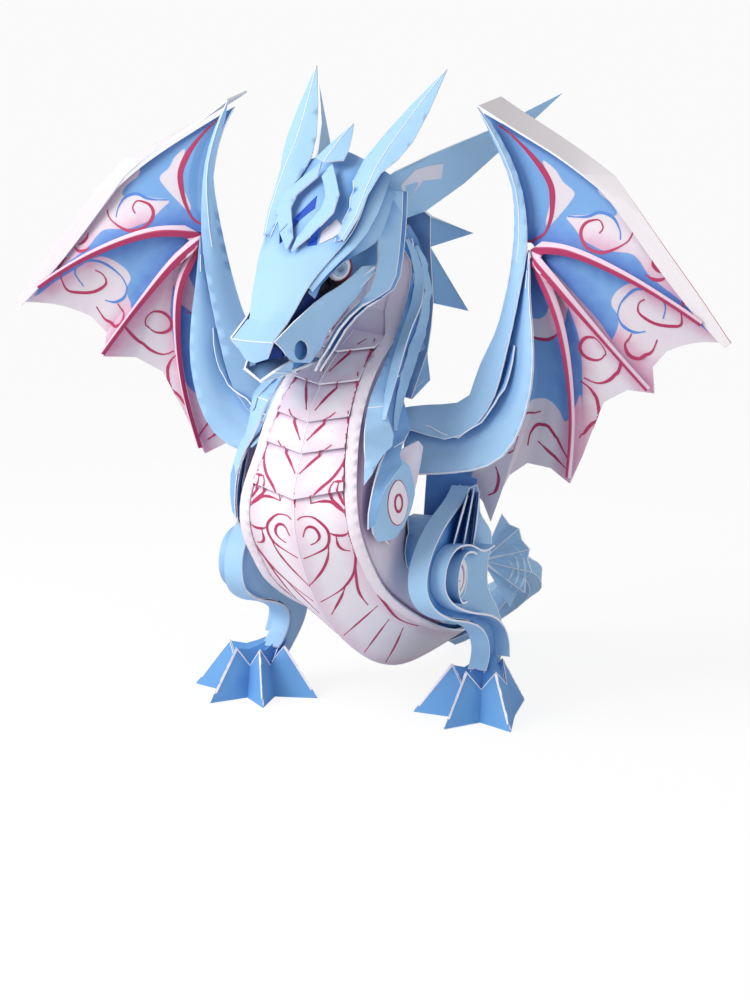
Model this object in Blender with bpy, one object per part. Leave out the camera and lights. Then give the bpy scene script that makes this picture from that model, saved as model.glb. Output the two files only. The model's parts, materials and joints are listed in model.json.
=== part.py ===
"""Folded card dragon: a seated, winged paper sculpture glued up from thin folded sheets.

All sizes are in millimetres and are turned into metres by MM. The dragon faces -Y, stands on
Z = 0 and is a mirror pair about X = 0 apart from the turned head, the splayed feet and the tail.
"""

import bmesh
import bpy
from math import cos, pi, radians, sin
from mathutils import Vector

MM = 0.001
CARD = 0.8          # thickness of every sheet of card
GAP = 0.35          # room left between two pieces that touch
CENTRE_Y = 29.93     # middle of the whole figure, front to back, before it is moved to the origin
HEAD_AT = (0.0, 5.0, 190.0)
HEAD_TURN = -11.0   # degrees about Z: the dragon looks a little to its right
HEAD_NOD = 35.0     # degrees about X: the snout points down

LIGHT = (0.45, 0.72, 0.93)
MID = (0.26, 0.52, 0.84)
DEEP = (0.10, 0.25, 0.62)
WHITE = (0.85, 0.82, 0.88)
BELLY = (0.88, 0.80, 0.88)
PINK = (0.72, 0.20, 0.42)
EYE = (0.55, 0.70, 0.85)

for thing in list(bpy.data.objects):
    bpy.data.objects.remove(thing, do_unlink=True)

root = bpy.data.objects.new("dragon_origin", None)
root.location = (0.0, -CENTRE_Y * MM, 0.0)
bpy.context.scene.collection.objects.link(root)

head = bpy.data.objects.new("head_origin", None)
head.location = Vector(HEAD_AT) * MM
head.rotation_euler = (radians(HEAD_NOD), 0.0, radians(HEAD_TURN))
head.parent = root
bpy.context.scene.collection.objects.link(head)

SIDES = (("left", 1.0), ("right", -1.0))


# Helpers

def material(name, colour):
    made = bpy.data.materials.new(name)
    made.use_nodes = True
    shader = made.node_tree.nodes["Principled BSDF"]
    shader.inputs["Base Color"].default_value = (*colour, 1.0)
    shader.inputs["Roughness"].default_value = 0.7
    return made


def place(name, mesh, colour, parent=None, smooth=False):
    """Links a finished mesh as one node with its own material."""
    mesh.update()
    obj = bpy.data.objects.new(name, mesh)
    mesh.materials.append(material(name + "_card", colour))
    mesh.polygons.foreach_set("use_smooth", [smooth] * len(mesh.polygons))
    obj.parent = parent or root
    bpy.context.scene.collection.objects.link(obj)
    return obj


def mesh_of(name, points, faces):
    """A closed mesh in metres, merged, with its faces turned outwards."""
    mesh = bpy.data.meshes.new(name)
    mesh.from_pydata([Vector(p) * MM for p in points], [], faces)
    work = bmesh.new()
    work.from_mesh(mesh)
    bmesh.ops.remove_doubles(work, verts=work.verts, dist=0.00001)
    bmesh.ops.recalc_face_normals(work, faces=work.faces)
    if work.calc_volume(signed=True) < 0:
        bmesh.ops.reverse_faces(work, faces=work.faces)
    work.to_mesh(mesh)
    work.free()
    return mesh


def mirrored(points, side):
    return [Vector((side * p[0], p[1], p[2])) for p in points]


def spline(points, count, closed=False):
    """Points evenly spaced along a smooth curve through the given ones."""
    pts = [Vector(p) for p in points]
    n = len(pts)
    fine = []
    spans = n if closed else n - 1
    for i in range(spans):
        if closed:
            a, b, c, d = pts[i - 1], pts[i], pts[(i + 1) % n], pts[(i + 2) % n]
        else:
            b, c = pts[i], pts[i + 1]
            a = pts[i - 1] if i else b * 2 - c
            d = pts[i + 2] if i + 2 < n else c * 2 - b
        for k in range(12):
            t = k / 12
            fine.append(0.5 * (2 * b + (c - a) * t + (2 * a - 5 * b + 4 * c - d) * t * t
                               + (3 * b - a - 3 * c + d) * t ** 3))
    fine.append(pts[0] if closed else pts[-1])
    return even(fine, count)


def even(points, count):
    """Points evenly spaced along a polyline."""
    pts = [Vector(p) for p in points]
    run = [0.0]
    for a, b in zip(pts, pts[1:]):
        run.append(run[-1] + (b - a).length)
    found = []
    j = 0
    for i in range(count):
        want = run[-1] * i / (count - 1)
        while j < len(pts) - 2 and run[j + 1] < want:
            j += 1
        span = run[j + 1] - run[j]
        t = (want - run[j]) / span if span else 0.0
        found.append(pts[j].lerp(pts[j + 1], min(max(t, 0.0), 1.0)))
    return found


def card_mesh(name, points, faces, facing, thickness=CARD, lift=0.0):
    """A folded sheet: the surface given by points and faces, thickened both ways.

    lift moves the sheet along the side that looks towards facing.
    """
    work = bmesh.new()
    made = [work.verts.new(Vector(p)) for p in points]
    for face in faces:
        corners = []
        for i in face:
            if made[i] not in corners:
                corners.append(made[i])
        if len(corners) > 2:
            work.faces.new(corners)
    bmesh.ops.remove_doubles(work, verts=work.verts, dist=0.01)
    bmesh.ops.delete(work, geom=[v for v in work.verts if not v.link_faces], context="VERTS")
    bmesh.ops.triangulate(work, faces=work.faces)
    bmesh.ops.recalc_face_normals(work, faces=work.faces)
    total = Vector()
    for face in work.faces:
        total += face.normal * face.calc_area()
    if total.dot(Vector(facing)) < 0:
        bmesh.ops.reverse_faces(work, faces=work.faces)
    for face in work.faces:
        face.normal_update()
    work.verts.index_update()
    outer = []
    inner = []
    for vert in work.verts:
        normal = Vector()
        for loop in vert.link_loops:
            normal += loop.face.normal * loop.calc_angle()
        normal.normalize()
        near = min(normal.dot(face.normal) for face in vert.link_faces)
        reach = 1 / max(near, 0.72)
        outer.append(vert.co + normal * reach * (lift + thickness / 2))
        inner.append(vert.co + normal * reach * (lift - thickness / 2))
    count = len(outer)
    closed = []
    for face in work.faces:
        ring = [v.index for v in face.verts]
        closed.append(ring)
        closed.append([i + count for i in reversed(ring)])
    for edge in work.edges:
        if len(edge.link_faces) == 1:
            loop = edge.link_loops[0]
            a, b = loop.vert.index, loop.link_loop_next.vert.index
            closed.append([b, a, a + count, b + count])
    work.free()
    return mesh_of(name, outer + inner, closed)


def card(name, points, faces, facing, colour, thickness=CARD, lift=0.0, parent=None, smooth=False):
    return place(name, card_mesh(name, points, faces, facing, thickness, lift), colour, parent, smooth)


def grid_faces(rows, columns, start=0):
    faces = []
    for i in range(rows - 1):
        for j in range(columns - 1):
            a = start + i * columns + j
            faces.append([a, a + 1, a + columns + 1, a + columns])
    return faces


def sheet(name, rows, facing, colour, thickness=CARD, lift=0.0, parent=None, smooth=False):
    """A sheet given as rows of points, all rows of the same length."""
    points = [p for row in rows for p in row]
    faces = grid_faces(len(rows), len(rows[0]))
    return card(name, points, faces, facing, colour, thickness, lift, parent, smooth)


def loft_mesh(name, rings):
    """A solid through closed rings of points, flat at both ends."""
    count = len(rings[0])
    points = [p for ring in rings for p in ring]
    faces = [list(range(count)), [len(points) - count + i for i in reversed(range(count))]]
    for i in range(len(rings) - 1):
        for j in range(count):
            a, b = i * count + j, i * count + (j + 1) % count
            if j * 2 < count:
                faces += [[a, b, b + count], [a, b + count, a + count]]
            else:
                faces += [[a, b, a + count], [b, b + count, a + count]]
    return mesh_of(name, points, faces)


def prism_mesh(name, outline, low, high):
    """A solid standing on the YZ outline between two X positions."""
    rings = [[(x, y, z) for y, z in outline] for x in (low, high)]
    return loft_mesh(name, rings)


def boolean(obj, other, operation):
    cut = obj.modifiers.new(operation.lower() + "_" + other.name, "BOOLEAN")
    cut.operation = operation
    cut.object = other
    cut.solver = "EXACT"


def clearance(name, rows, facing, lift=0.0, parent=None):
    """A hidden copy of a sheet that is larger by the gap on every side, to cut its neighbours with."""
    wide = []
    for row in rows:
        row = [Vector(p) for p in row]
        wide.append([row[0].lerp(row[1], -GAP / max((row[1] - row[0]).length, 0.1))] + row
                    + [row[-1].lerp(row[-2], -GAP / max((row[-1] - row[-2]).length, 0.1))])
    first = [a.lerp(b, -GAP / max((b - a).length, 0.1)) for a, b in zip(wide[0], wide[1])]
    last = [a.lerp(b, -GAP / max((b - a).length, 0.1)) for a, b in zip(wide[-1], wide[-2])]
    wide = [first] + wide + [last]
    points = [p for row in wide for p in row]
    faces = grid_faces(len(wide), len(wide[0]))
    mesh = card_mesh(name, points, faces, facing, CARD + 2 * GAP, lift)
    return helper(name, mesh, parent)


def helper(name, mesh, parent=None):
    """A hidden body used only by a Boolean."""
    obj = bpy.data.objects.new(name, mesh)
    obj.parent = parent or root
    obj.hide_render = True
    obj.display_type = "WIRE"
    bpy.context.scene.collection.objects.link(obj)
    return obj


# The trunk: keel line, edge of the printed front, half width of the flank and the back line.
# Each row is one section from the nape, down the chest and belly, to the root of the tail.

TRUNK = (
    ((1, 194), (12, 4, 195), 12.0, (20, 203)),
    ((5, 184), (13, 8, 184), 12.5, (26, 190)),
    ((5, 173), (13, 8, 172), 13.0, (28, 174)),
    ((1, 163), (12, 4, 161), 13.5, (26, 160)),
    ((-7, 155), (12, -5, 153), 14.0, (22, 147)),
    ((-21, 148), (12.3, -19.5, 146), 15.0, (17, 134)),
    ((-35, 140), (13.5, -33, 138), 16.5, (13, 122)),
    ((-44, 132), (14.5, -42, 130), 19.0, (10, 114)),
    ((-51, 123), (15.5, -48.5, 121.5), 22.0, (9, 106)),
    ((-55.5, 114), (16.5, -52.7, 113), 24.0, (9, 99)),
    ((-60, 105), (18, -57, 104.5), 25.0, (10, 92)),
    ((-63, 96), (19.5, -60, 96), 25.8, (12, 85)),
    ((-63, 86), (20.5, -59.5, 86.5), 26.2, (14, 79)),
    ((-59.5, 76), (21, -55, 77.5), 26.2, (17, 73)),
    ((-53, 65), (21, -47.5, 68.5), 26.2, (21, 67)),
    ((-44, 53), (21.2, -37.5, 58.5), 26.2, (27, 61)),
    ((-30, 40), (21.2, -21, 48.5), 26.0, (35, 55)),
    ((-10, 27), (20.5, 1, 38), 25.0, (45, 48)),
    ((13, 15.5), (19.5, 24, 29), 23.0, (56, 42)),
    ((39, 8), (17, 47, 22), 20.0, (68, 36)),
    ((66, 6), (14, 71, 17), 16.5, (84, 30)),
    ((95, 6), (10.5, 97, 13), 12.5, (101, 25)),
)
RIM = 4.8           # width of the plain strip down each side of the printed front
UNDER = 1.3         # how far the trunk lies under the sheets on its front


def station(s):
    """Keel, edge, half width and back of the trunk at a fractional section number."""
    i = min(max(int(s), 0), len(TRUNK) - 2)
    t = s - i
    p = TRUNK[max(i - 1, 0)]
    a = TRUNK[i]
    b = TRUNK[i + 1]
    q = TRUNK[min(i + 2, len(TRUNK) - 1)]

    def blend(w, x, y, z):
        return 0.5 * (2 * x + (y - w) * t + (2 * w - 5 * x + 4 * y - z) * t * t
                      + (3 * x - w - 3 * y + z) * t ** 3)

    keel = Vector((0, *(blend(p[0][k], a[0][k], b[0][k], q[0][k]) for k in (0, 1))))
    edge = Vector([blend(p[1][k], a[1][k], b[1][k], q[1][k]) for k in (0, 1, 2)])
    back = Vector((0, *(blend(p[3][k], a[3][k], b[3][k], q[3][k]) for k in (0, 1))))
    return keel, edge, blend(p[2], a[2], b[2], q[2]), back


def front_point(s, u, lift=0.0):
    """A point of the folded front: u is 0 on the keel and 1 on the edge, its sign is the side."""
    keel, edge, _, back = station(s)
    side = -1.0 if u < 0 else 1.0
    point = keel.lerp(edge, abs(u))
    ahead = station(s + 0.05)
    behind = station(s - 0.05)
    along = ahead[0].lerp(ahead[1], abs(u)) - behind[0].lerp(behind[1], abs(u))
    normal = (edge - keel).cross(along)
    if normal.dot(back - keel) > 0:
        normal = -normal
    if abs(u) < 0.02:
        normal.x = 0
    point = point + normal.normalized() * lift
    return Vector((side * point.x, point.y, point.z))


def trunk_ring(s, grow=0.0):
    keel, edge, half, back = station(s)
    inward = (back - keel)
    depth = inward.length
    inward.normalize()
    near = (edge - keel).dot(inward)
    edge_in = Vector((0, edge.y, edge.z)) + inward * (UNDER - grow)
    corner = Vector((0, edge.y, edge.z)) + inward * (UNDER + 2.2 - grow)
    mid = keel + inward * max(0.6 * depth, near + 6.5)
    level = Vector((0, edge.y, edge.z))
    first = level.lerp(mid, max(0.35, 4.4 / (mid - level).length))
    rear = keel + inward * 0.88 * depth
    ring = [(0, *(keel + inward * (UNDER - grow)).yz)]
    ring.append((edge.x - 0.5 + grow, edge_in.y, edge_in.z))
    ring.append((half - 1.0 + grow, corner.y, corner.z))
    ring.append((half + grow, first.y, first.z))
    ring.append((half + grow, mid.y, mid.z))
    ring.append((0.7 * half + grow, rear.y, rear.z))
    ring.append((0, *(back + inward * grow).yz))
    return ring + [(-x, y, z) for x, y, z in reversed(ring[1:-1])]


LAST = len(TRUNK) - 1
place("trunk", loft_mesh("trunk", [trunk_ring(i) for i in range(LAST + 1)]), WHITE)


def longer(rings, by):
    """The rings of a loft with both end rings moved outwards."""
    moved = []
    for end, beside in ((rings[0], rings[1]), (rings[-1], rings[-2])):
        step = (sum(map(Vector, end), Vector()) - sum(map(Vector, beside), Vector())).normalized() * by
        moved.append([Vector(p) + step for p in end])
    return [moved[0]] + rings[1:-1] + [moved[1]]


grown_rings = longer([trunk_ring(i, GAP) for i in range(LAST + 1)], 1.2)
trunk_cutter = helper("trunk_cutter", loft_mesh("trunk_cutter", grown_rings))

# Printed belly sheet with its keel fold, and the overlapping throat and chest plates above it.

ACROSS = (-1, -0.5, 0, 0.5, 1)
belly_rows = []
for k in range(22):
    s = 10.5 + k / 2
    belly_rows.append([front_point(s - 0.3 * abs(u) * (k < 1), u) for u in ACROSS])
sheet("belly_sheet", belly_rows, (0, -1, -0.3), BELLY, lift=0.15)
belly_clearance = clearance("belly_clearance", belly_rows, (0, -1, -0.3), 0.15)

PLATES = (("throat_plate", 4.05, 5.15), ("neck_plate", 4.75, 6.45), ("chest_plate_upper", 5.95, 7.9),
          ("chest_plate_middle", 7.35, 9.15), ("chest_plate_lower", 8.65, 10.95))
CHEVRON = 0.45      # how much higher, in sections, a plate ends at its edges than on the keel
PLATE_LIFT = 1.7    # how far the lower edge of a plate stands off the sheet below it
for name, top, low in PLATES:
    rows = []
    for k in range(5):
        t = k / 4
        row = []
        for u in ACROSS:
            s_low = low - CHEVRON * abs(u)
            row.append(front_point(top + (s_low - top) * t, u, PLATE_LIFT * t))
        rows.append(row)
    sheet(name, rows, (0, -1, 0.3), BELLY)
    if name == "throat_plate":
        throat_clearance = clearance("throat_clearance", rows, (0, -1, 0.3))


def rim_pair(s):
    """Inner and outer edge of the plain strip beside the printed front."""
    keel, edge, half, back = station(s)
    inward = (back - keel).normalized()
    ease = min(max(4.0 - s, 0.0), 1.0)
    inner = edge + Vector((0.35 - 4.0 * ease, 0, 0)) - inward * 0.2
    outer = edge + Vector((RIM + 1.5 * ease, 0, 0)) + inward * 1.0
    return inner, outer


rim_clearance = {}
bands = []
for side_name, side in SIDES:
    rows = []
    for k in range(1, 2 * LAST + 1):
        inner, outer = rim_pair(k / 2)
        rows.append(mirrored((inner, outer), side))
    strip = sheet("rim_strip_" + side_name, rows, (0, -1, -0.3), WHITE, lift=0.3)
    boolean(strip, trunk_cutter, "DIFFERENCE")
    boolean(strip, throat_clearance, "DIFFERENCE")
    bands.append(strip)
    rim_clearance[side_name] = clearance("rim_clearance_" + side_name, rows, (0, -1, -0.3), 0.3)

# Layered bands that run from behind the jaw down each side of the neck to the shoulder.

BAND_A = (
    ((15.5, 1, 189), (17.5, 3, 194)), ((17.5, 8, 181), (20, 12, 181)),
    ((17.5, 6, 170), (20.5, 9, 169)), ((17.5, 0, 160), (20.8, 2, 161)),
    ((18, -10, 151), (21.8, -8, 152)), ((19, -22, 143.5), (23, -18, 144)),
    ((20, -35, 135), (25, -28.6, 135.4)), ((21.5, -44.5, 127), (27, -38.5, 131)),
    ((23, -50, 118.5), (29.5, -40.5, 124)), ((25, -53.5, 113), (31, -39.5, 117)),
    ((26, -56.5, 108), (30, -49, 113)), ((26.8, -58.5, 103), (29, -56, 107)),
)
BAND_B = (
    ((16.5, 0, 190), (18.2, 6, 196)), ((17.2, 6, 186), (20, 10.5, 190)),
    ((17.5, 11, 179), (21, 18, 178)), ((17.5, 9, 171), (21, 15.5, 170)),
    ((18, 5, 165), (21.2, 11, 165)), ((18.5, -2, 158), (22, 9.6, 154)),
    ((19.2, -7, 150), (23, 11.3, 146.6)), ((20.2, -15, 144), (23.3, -7, 145)),
    ((21.6, -25, 137), (24.5, -19, 140)), ((23.6, -32, 130), (26.5, -20, 132)),
    ((26, -35, 123), (28.5, -19, 124)), ((28, -37, 117), (31, -22, 120)),
    ((29, -43, 113.5), (32.5, -34, 117)), ((29.5, -48, 110.5), (33.5, -39, 112.5)),
    ((29.6, -51, 107.5), (34.6, -39, 109)), ((29.4, -54, 103.5), (34.6, -46, 106.5)),
    ((29, -56.5, 98), (33, -52.5, 102)), ((28.6, -58, 92), (31.6, -56, 95)),
    ((28.4, -57.8, 86), (30.6, -56.4, 88)),
)
for side_name, side in SIDES:
    inner = spline([a for a, b in BAND_A], 23)
    outer = spline([b for a, b in BAND_A], 23)
    rows = [mirrored((a, b), side) for a, b in zip(inner, outer)]
    front_band = sheet("neck_band_front_" + side_name, rows, (side, -1, 0.2), MID, lift=0.3)
    boolean(front_band, rim_clearance[side_name], "DIFFERENCE")
    boolean(front_band, trunk_cutter, "DIFFERENCE")
    front_clearance = clearance("front_band_clearance_" + side_name, rows, (side, -1, 0.2), 0.3)
    rows = [mirrored((a, (Vector(a) + Vector(b)) / 2, b), side) for a, b in BAND_B]
    rear_band = sheet("neck_band_rear_" + side_name, rows, (side, -1, 0.2), MID, lift=-0.9)
    boolean(rear_band, rim_clearance[side_name], "DIFFERENCE")
    boolean(rear_band, trunk_cutter, "DIFFERENCE")
    boolean(rear_band, front_clearance, "DIFFERENCE")
    bands += [front_band, rear_band]

# Spiked crest: one pleated sheet folded over the nape, swept back into spikes on both sides.

NAPE = ((0, 23.5, 205), (0, 29.3, 191), (0, 31.8, 176), (0, 29.8, 161), (0, 25.3, 148), (0, 19.3, 136), (0, 15, 126))
CREST_PLEAT = ((8.5, 22, 204), (9.5, 29, 193), (9.5, 28.5, 181), (9.5, 28, 162), (9.5, 24, 150), (9.5, 20, 139),
               (9, 14, 126))
CREST_EDGE = ((17, 13, 204.5), (19.5, 24, 198), (19, 25, 185.5), (19.5, 27, 162.5), (19.5, 25, 153),
              (19.5, 21, 143), (18, 8.5, 126))
CREST_TIPS = ((27, 51, 189), (27, 46, 157.5), (20.5, 21, 132))
points = [Vector(p) for p in NAPE]
faces = []
for side in (1, -1):
    start = len(points)
    points += mirrored(CREST_PLEAT, side) + mirrored(CREST_EDGE, side) + mirrored(CREST_TIPS, side)
    for k in range(6):
        faces.append([k, k + 1, start + k + 1, start + k])
        faces.append([start + k, start + k + 1, start + k + 8, start + k + 7])
    for first, tip in ((8, 14), (9, 15), (12, 16)):
        faces.append([start + first, start + first + 1, start + tip])
crest = card("back_crest", points, faces, (0, 1, 0), MID)
boolean(crest, trunk_cutter, "DIFFERENCE")

# Arms: a curled sleeve against each flank with a plain plate behind it.

ARM = (
    (110, -42, -36, 30.3, 32), (106.5, -48, -29.5, 29.8, 32.6), (101, -52, -26.5, 29.4, 33.2),
    (95, -55, -25.5, 29, 33.5), (89, -56, -28, 28.8, 33.3), (84, -54.5, -33, 28.8, 32.6),
    (80, -50, -40, 28.8, 31.8),
)
PLATE_OUTLINE = ((-30, 112.5), (-14.5, 113.5), (-10.5, 110.5), (-13, 103), (-19, 92), (-27, 82), (-40, 77),
                 (-50, 84), (-50, 98), (-44, 110))
for side_name, side in SIDES:
    rows = []
    for z, y0, y1, x0, x1 in ARM:
        row = []
        for k in range(7):
            t = k / 6
            row.append((x0 + (x1 - x0) * t + 1.1 * sin(pi * t), y0 + (y1 - y0) * t, z))
        rows.append(mirrored(row, side))
    sheet("arm_sleeve_" + side_name, rows, (side, 0, 0), LIGHT)
    sleeve_clearance = clearance("sleeve_clearance_" + side_name, rows, (side, 0, 0))
    for band in bands:
        if band.name.endswith(side_name):
            boolean(band, sleeve_clearance, "DIFFERENCE")
    outline = mirrored([(29.25 + (y + 50) * 0.05, y, z) for y, z in PLATE_OUTLINE], side)
    centre = sum(outline, Vector()) / len(outline)
    faces = [[i, (i + 1) % len(outline), len(outline)] for i in range(len(outline))]
    card("arm_plate_" + side_name, outline + [centre], faces, (side, 0, 0), WHITE, lift=-0.6)

# Wing arms: two long curved layers from the shoulder out and up to the tip of the wing.

ARM_INNER = ((11, 7, 121), (20, 9, 123), (28, 9, 124), (36, 9, 125), (42.5, 9, 128), (46.7, 8, 139), (51, 7, 147.5),
             (55.5, 6, 156.5), (59, 5, 168), (61.8, 4, 180), (64.5, 1, 199), (64.3, -3, 215),
             (58.8, -7, 231), (53, -10, 244))
ARM_OUTER = ((15, -4, 115), (24, -3, 115.5), (31, -3, 113.5), (39, -3, 113), (47.5, -3, 117), (54, -3, 124),
             (58.5, -3, 133), (61.8, -3, 145), (65.5, -3, 161), (68.5, -3, 176), (70.5, -2, 190),
             (69.5, -2.5, 208), (66, -5, 222), (59.5, -8, 235.5), (53.4, -10, 244.4))
FRONT_INNER = ((18, 1.5, 118), (25, 1.5, 118), (31, 1.5, 116), (39, 1.5, 115.5), (46.5, 1.5, 119), (52.5, 1.5, 125.5),
               (57, 1.5, 134), (60.3, 1.5, 145), (64, 1, 161), (67, 0.5, 176), (70, 0, 189))
FRONT_FOLD = ((19, -2, 107), (26, -1.5, 107), (34, -1, 107), (43, -1, 108.5), (51, -1, 112.5), (57.5, -1, 119.5),
              (62, -1, 129), (65, -1, 141), (67, -1, 157), (68.5, -1, 174), (70.5, -0.8, 188.5))
FRONT_OUTER = ((20, -7, 98.5), (29, -7, 99), (41, -7, 100.5), (53, -7, 103), (61.5, -7, 107.6), (67.5, -7, 115),
               (71.8, -6.5, 126), (74.3, -6, 139.8), (74, -5, 155.4), (72.2, -4, 171), (71.5, -2, 188))
for side_name, side in SIDES:
    inner = spline(ARM_INNER, 24)
    outer = spline(ARM_OUTER, 24)
    rows = [mirrored((a, (a + b) / 2 + Vector((0, -1.2, 0)), b), side) for a, b in zip(inner, outer)]
    rows[-1] = [rows[-1][1]] * 3
    arm = sheet("wing_arm_back_" + side_name, rows, (0, -1, 0), LIGHT)
    boolean(arm, trunk_cutter, "DIFFERENCE")
    inner = spline(FRONT_INNER, 18)
    fold = spline(FRONT_FOLD, 18)
    outer = spline(FRONT_OUTER, 18)
    rows = [mirrored((a, b, (b + c) / 2 + Vector((0, -0.8, 0)), c), side)
            for a, b, c in zip(inner, fold, outer)]
    arm = sheet("wing_arm_front_" + side_name, rows, (0, -1, 0), LIGHT, lift=-0.6)
    boolean(arm, trunk_cutter, "DIFFERENCE")

# Wings: a fan of panels between ribs that spread from one hub.

HUB = Vector((69, 3, 189.5))
TIPS = (Vector((53.4, -5, 241.5)), Vector((153.6, -5, 158)), Vector((120.6, 5, 135.5)),
        Vector((81.3, 20.5, 94.5)), Vector((45.6, 26, 75)), Vector((29, 25, 94)))
RIB_BENDS = (
    (Vector((76.8, 2, 199)), Vector((77, -1, 213)), Vector((68.5, -4, 230))),
    (Vector((88, -4, 190.5)), Vector((112, -7, 182.5)), Vector((134, -7, 171))),
    (Vector((82, -1, 178)), Vector((96, 0, 163)), Vector((109, 2, 148.5))),
    (Vector((80.5, 2, 171)), Vector((85, 6, 150)), Vector((85.5, 13, 122))),
    (Vector((68, 6, 165)), Vector((66, 12, 135)), Vector((57, 20, 105))),
    (Vector((64, 7, 165)), Vector((56, 13, 135)), Vector((40, 20, 108))),
)
LENS = (HUB, Vector((67.5, 1.5, 207)), Vector((64, -1.5, 221)), Vector((58, -5, 234)), TIPS[0])
PANEL_EDGES = (
    (Vector((72, -4, 231.5)), Vector((84, -3, 225)), Vector((95, -2.5, 217.5)), Vector((105, -2.5, 211.5)),
     Vector((118, -3, 199)), Vector((131, -4, 184)), Vector((143, -5, 170))),
    (Vector((140, -2, 157.5)), Vector((127, 2, 153)), Vector((119.5, 5, 146))),
    (Vector((109, 9, 135.5)), Vector((97, 12, 129)), Vector((90, 16, 113))),
    (Vector((72, 22.5, 99.5)), Vector((60, 24, 100)), Vector((50, 25.5, 91))),
    (Vector((42, 26, 83)), Vector((37, 26, 88)), Vector((33, 25.5, 92))),
)
PANEL_SAG = (5.0, 5.0, 5.0, 4.0, 1.0)
RADII = (0.04, 0.2, 0.36, 0.52, 0.68, 0.82, 0.92, 1.0)
RIB_CURVES = [spline((HUB, *bends, tip), 33) for bends, tip in zip(RIB_BENDS, TIPS)]
EDGE_CURVES = [spline((TIPS[k], *PANEL_EDGES[k], TIPS[k + 1]), 33) for k in range(5)]


def on_curve(curve, t):
    x = min(max(t, 0.0), 1.0) * (len(curve) - 1)
    i = min(int(x), len(curve) - 2)
    return curve[i].lerp(curve[i + 1], x - i)


def wing_point(panel, a, r):
    """A point of a wing panel: a runs across it from rib to rib, r from the hub to the hem."""
    left = on_curve(RIB_CURVES[panel], r)
    right = on_curve(RIB_CURVES[panel + 1], r)
    middle = left.lerp(right, a)
    hem = on_curve(EDGE_CURVES[panel], a) - TIPS[panel].lerp(TIPS[panel + 1], a)
    sag = PANEL_SAG[panel] * 4 * a * (1 - a) * r * (1.4 - r)
    return middle + hem * r ** 1.6 + Vector((0, sag, 0))


def fan(panel, steps, radii, first=True):
    """Lines of points across one panel, each from the hub outwards."""
    lines = []
    for k in range(0 if first else 1, steps + 1):
        lines.append([wing_point(panel, k / steps, r) for r in radii])
    return lines


STEPS = (7, 5, 5, 5, 3)
HEM = ((0.93, 0.72, 0.66, 0.80, 0.62, 0.74, 0.86, 0.78), (0.72, 0.5, 0.42, 0.55, 0.7, 0.86),
       (0.82, 0.5, 0.42, 0.5, 0.6, 0.86), (0.8, 0.66, 0.72, 0.78, 0.7, 0.72), (0.66, 0.6, 0.6, 0.66))
for side_name, side in SIDES:
    lines = []
    lens = spline(LENS, 33)
    for t in (0.0, 0.34, 0.67):
        line = []
        for r in RADII:
            point = on_curve(lens, r).lerp(on_curve(RIB_CURVES[0], r), t)
            line.append(point + Vector((0, 5.0 * t * (1 - t) * 4 * r * (1 - r), 0)))
        lines.append(line)
    for panel in range(5):
        lines += fan(panel, STEPS[panel], RADII, first=not panel)
    sheet("wing_membrane_" + side_name, [mirrored(line, side) for line in lines], (0, -1, 0), MID)
    lines = []
    for panel in range(1, 5):
        for k in range(0 if panel == 1 else 1, STEPS[panel] + 1):
            low = HEM[panel][k] if k else HEM[panel - 1][-1]
            span = [low + (1.0 - low) * q for q in (0.0, 0.3, 0.65, 1.0)]
            lines.append([wing_point(panel, k / STEPS[panel], r) for r in span])
    sheet("wing_hem_" + side_name, [mirrored(line, side) for line in lines], (0, -1, 0), WHITE,
          thickness=0.5, lift=1.4)

# Stiff rim along the leading edge: a flange at the top that turns into the plane of the wing.

RIM_INNER = ((53.6, -11.5, 244.5), (62, -9.5, 239), (72, -8, 233), (84, -7, 226.4), (94.5, -6.5, 219), (103, -6, 212.5),
             (114, -6, 199), (126, -7, 184), (138, -8, 170), (152, -8.5, 156.5))
RIM_OUTER = ((55, 9, 247), (63, 9, 242), (74, 8, 236), (86, 6, 229.5), (96, 3, 224), (106, -1.5, 218.5),
             (118, -5.5, 205), (130, -7, 190), (142, -8, 175.5), (154.5, -8.5, 158.5))
for side_name, side in SIDES:
    rows = [mirrored((a, b), side) for a, b in zip(RIM_INNER, RIM_OUTER)]
    sheet("wing_rim_" + side_name, rows, (0.3 * side, -0.5, 1), WHITE)

# Ribs: one branching strip per wing, folded along the middle of each rib.

RIB_WIDTH = 4.6
for side_name, side in SIDES:
    points = []
    faces = []
    starts = []
    for rib in (1, 2, 3):
        curve = RIB_CURVES[rib]
        for k in range(9):
            t = 0.1 + (0.765 if rib == 1 else 0.87) * k / 8
            here = on_curve(curve, t)
            along = (on_curve(curve, min(t + 0.04, 1)) - on_curve(curve, t - 0.04)).normalized()
            across = along.cross(Vector((0, 1, 0))).normalized() * max(RIB_WIDTH * (1.1 - t) * 0.5, 1.0)
            front = Vector((0, -2.7, 0))
            points += [here + across + front, here + front * 1.35, here - across + front]
        start = (rib - 1) * 27
        starts.append(start)
        faces += grid_faces(9, 3, start)
    for a, b in zip(starts, starts[1:]):
        points.append((points[a + 2] + points[b]) / 2)
    hub_at = len(points)
    points.append(HUB + Vector((2.5, -2.6, -0.5)))
    ring = []
    for n, start in enumerate(starts):
        ring += [start, start + 1, start + 2]
        if n < 2:
            ring.append(81 + n)
    faces += [[hub_at, b, a] for a, b in zip(ring, ring[1:])]
    card("wing_ribs_" + side_name, mirrored(points, side), faces, (0, -1, 0), PINK, thickness=0.7)

# Legs: a flat core, a ribbon along its front, a quilled scroll on its side and a pleated foot.

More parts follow.
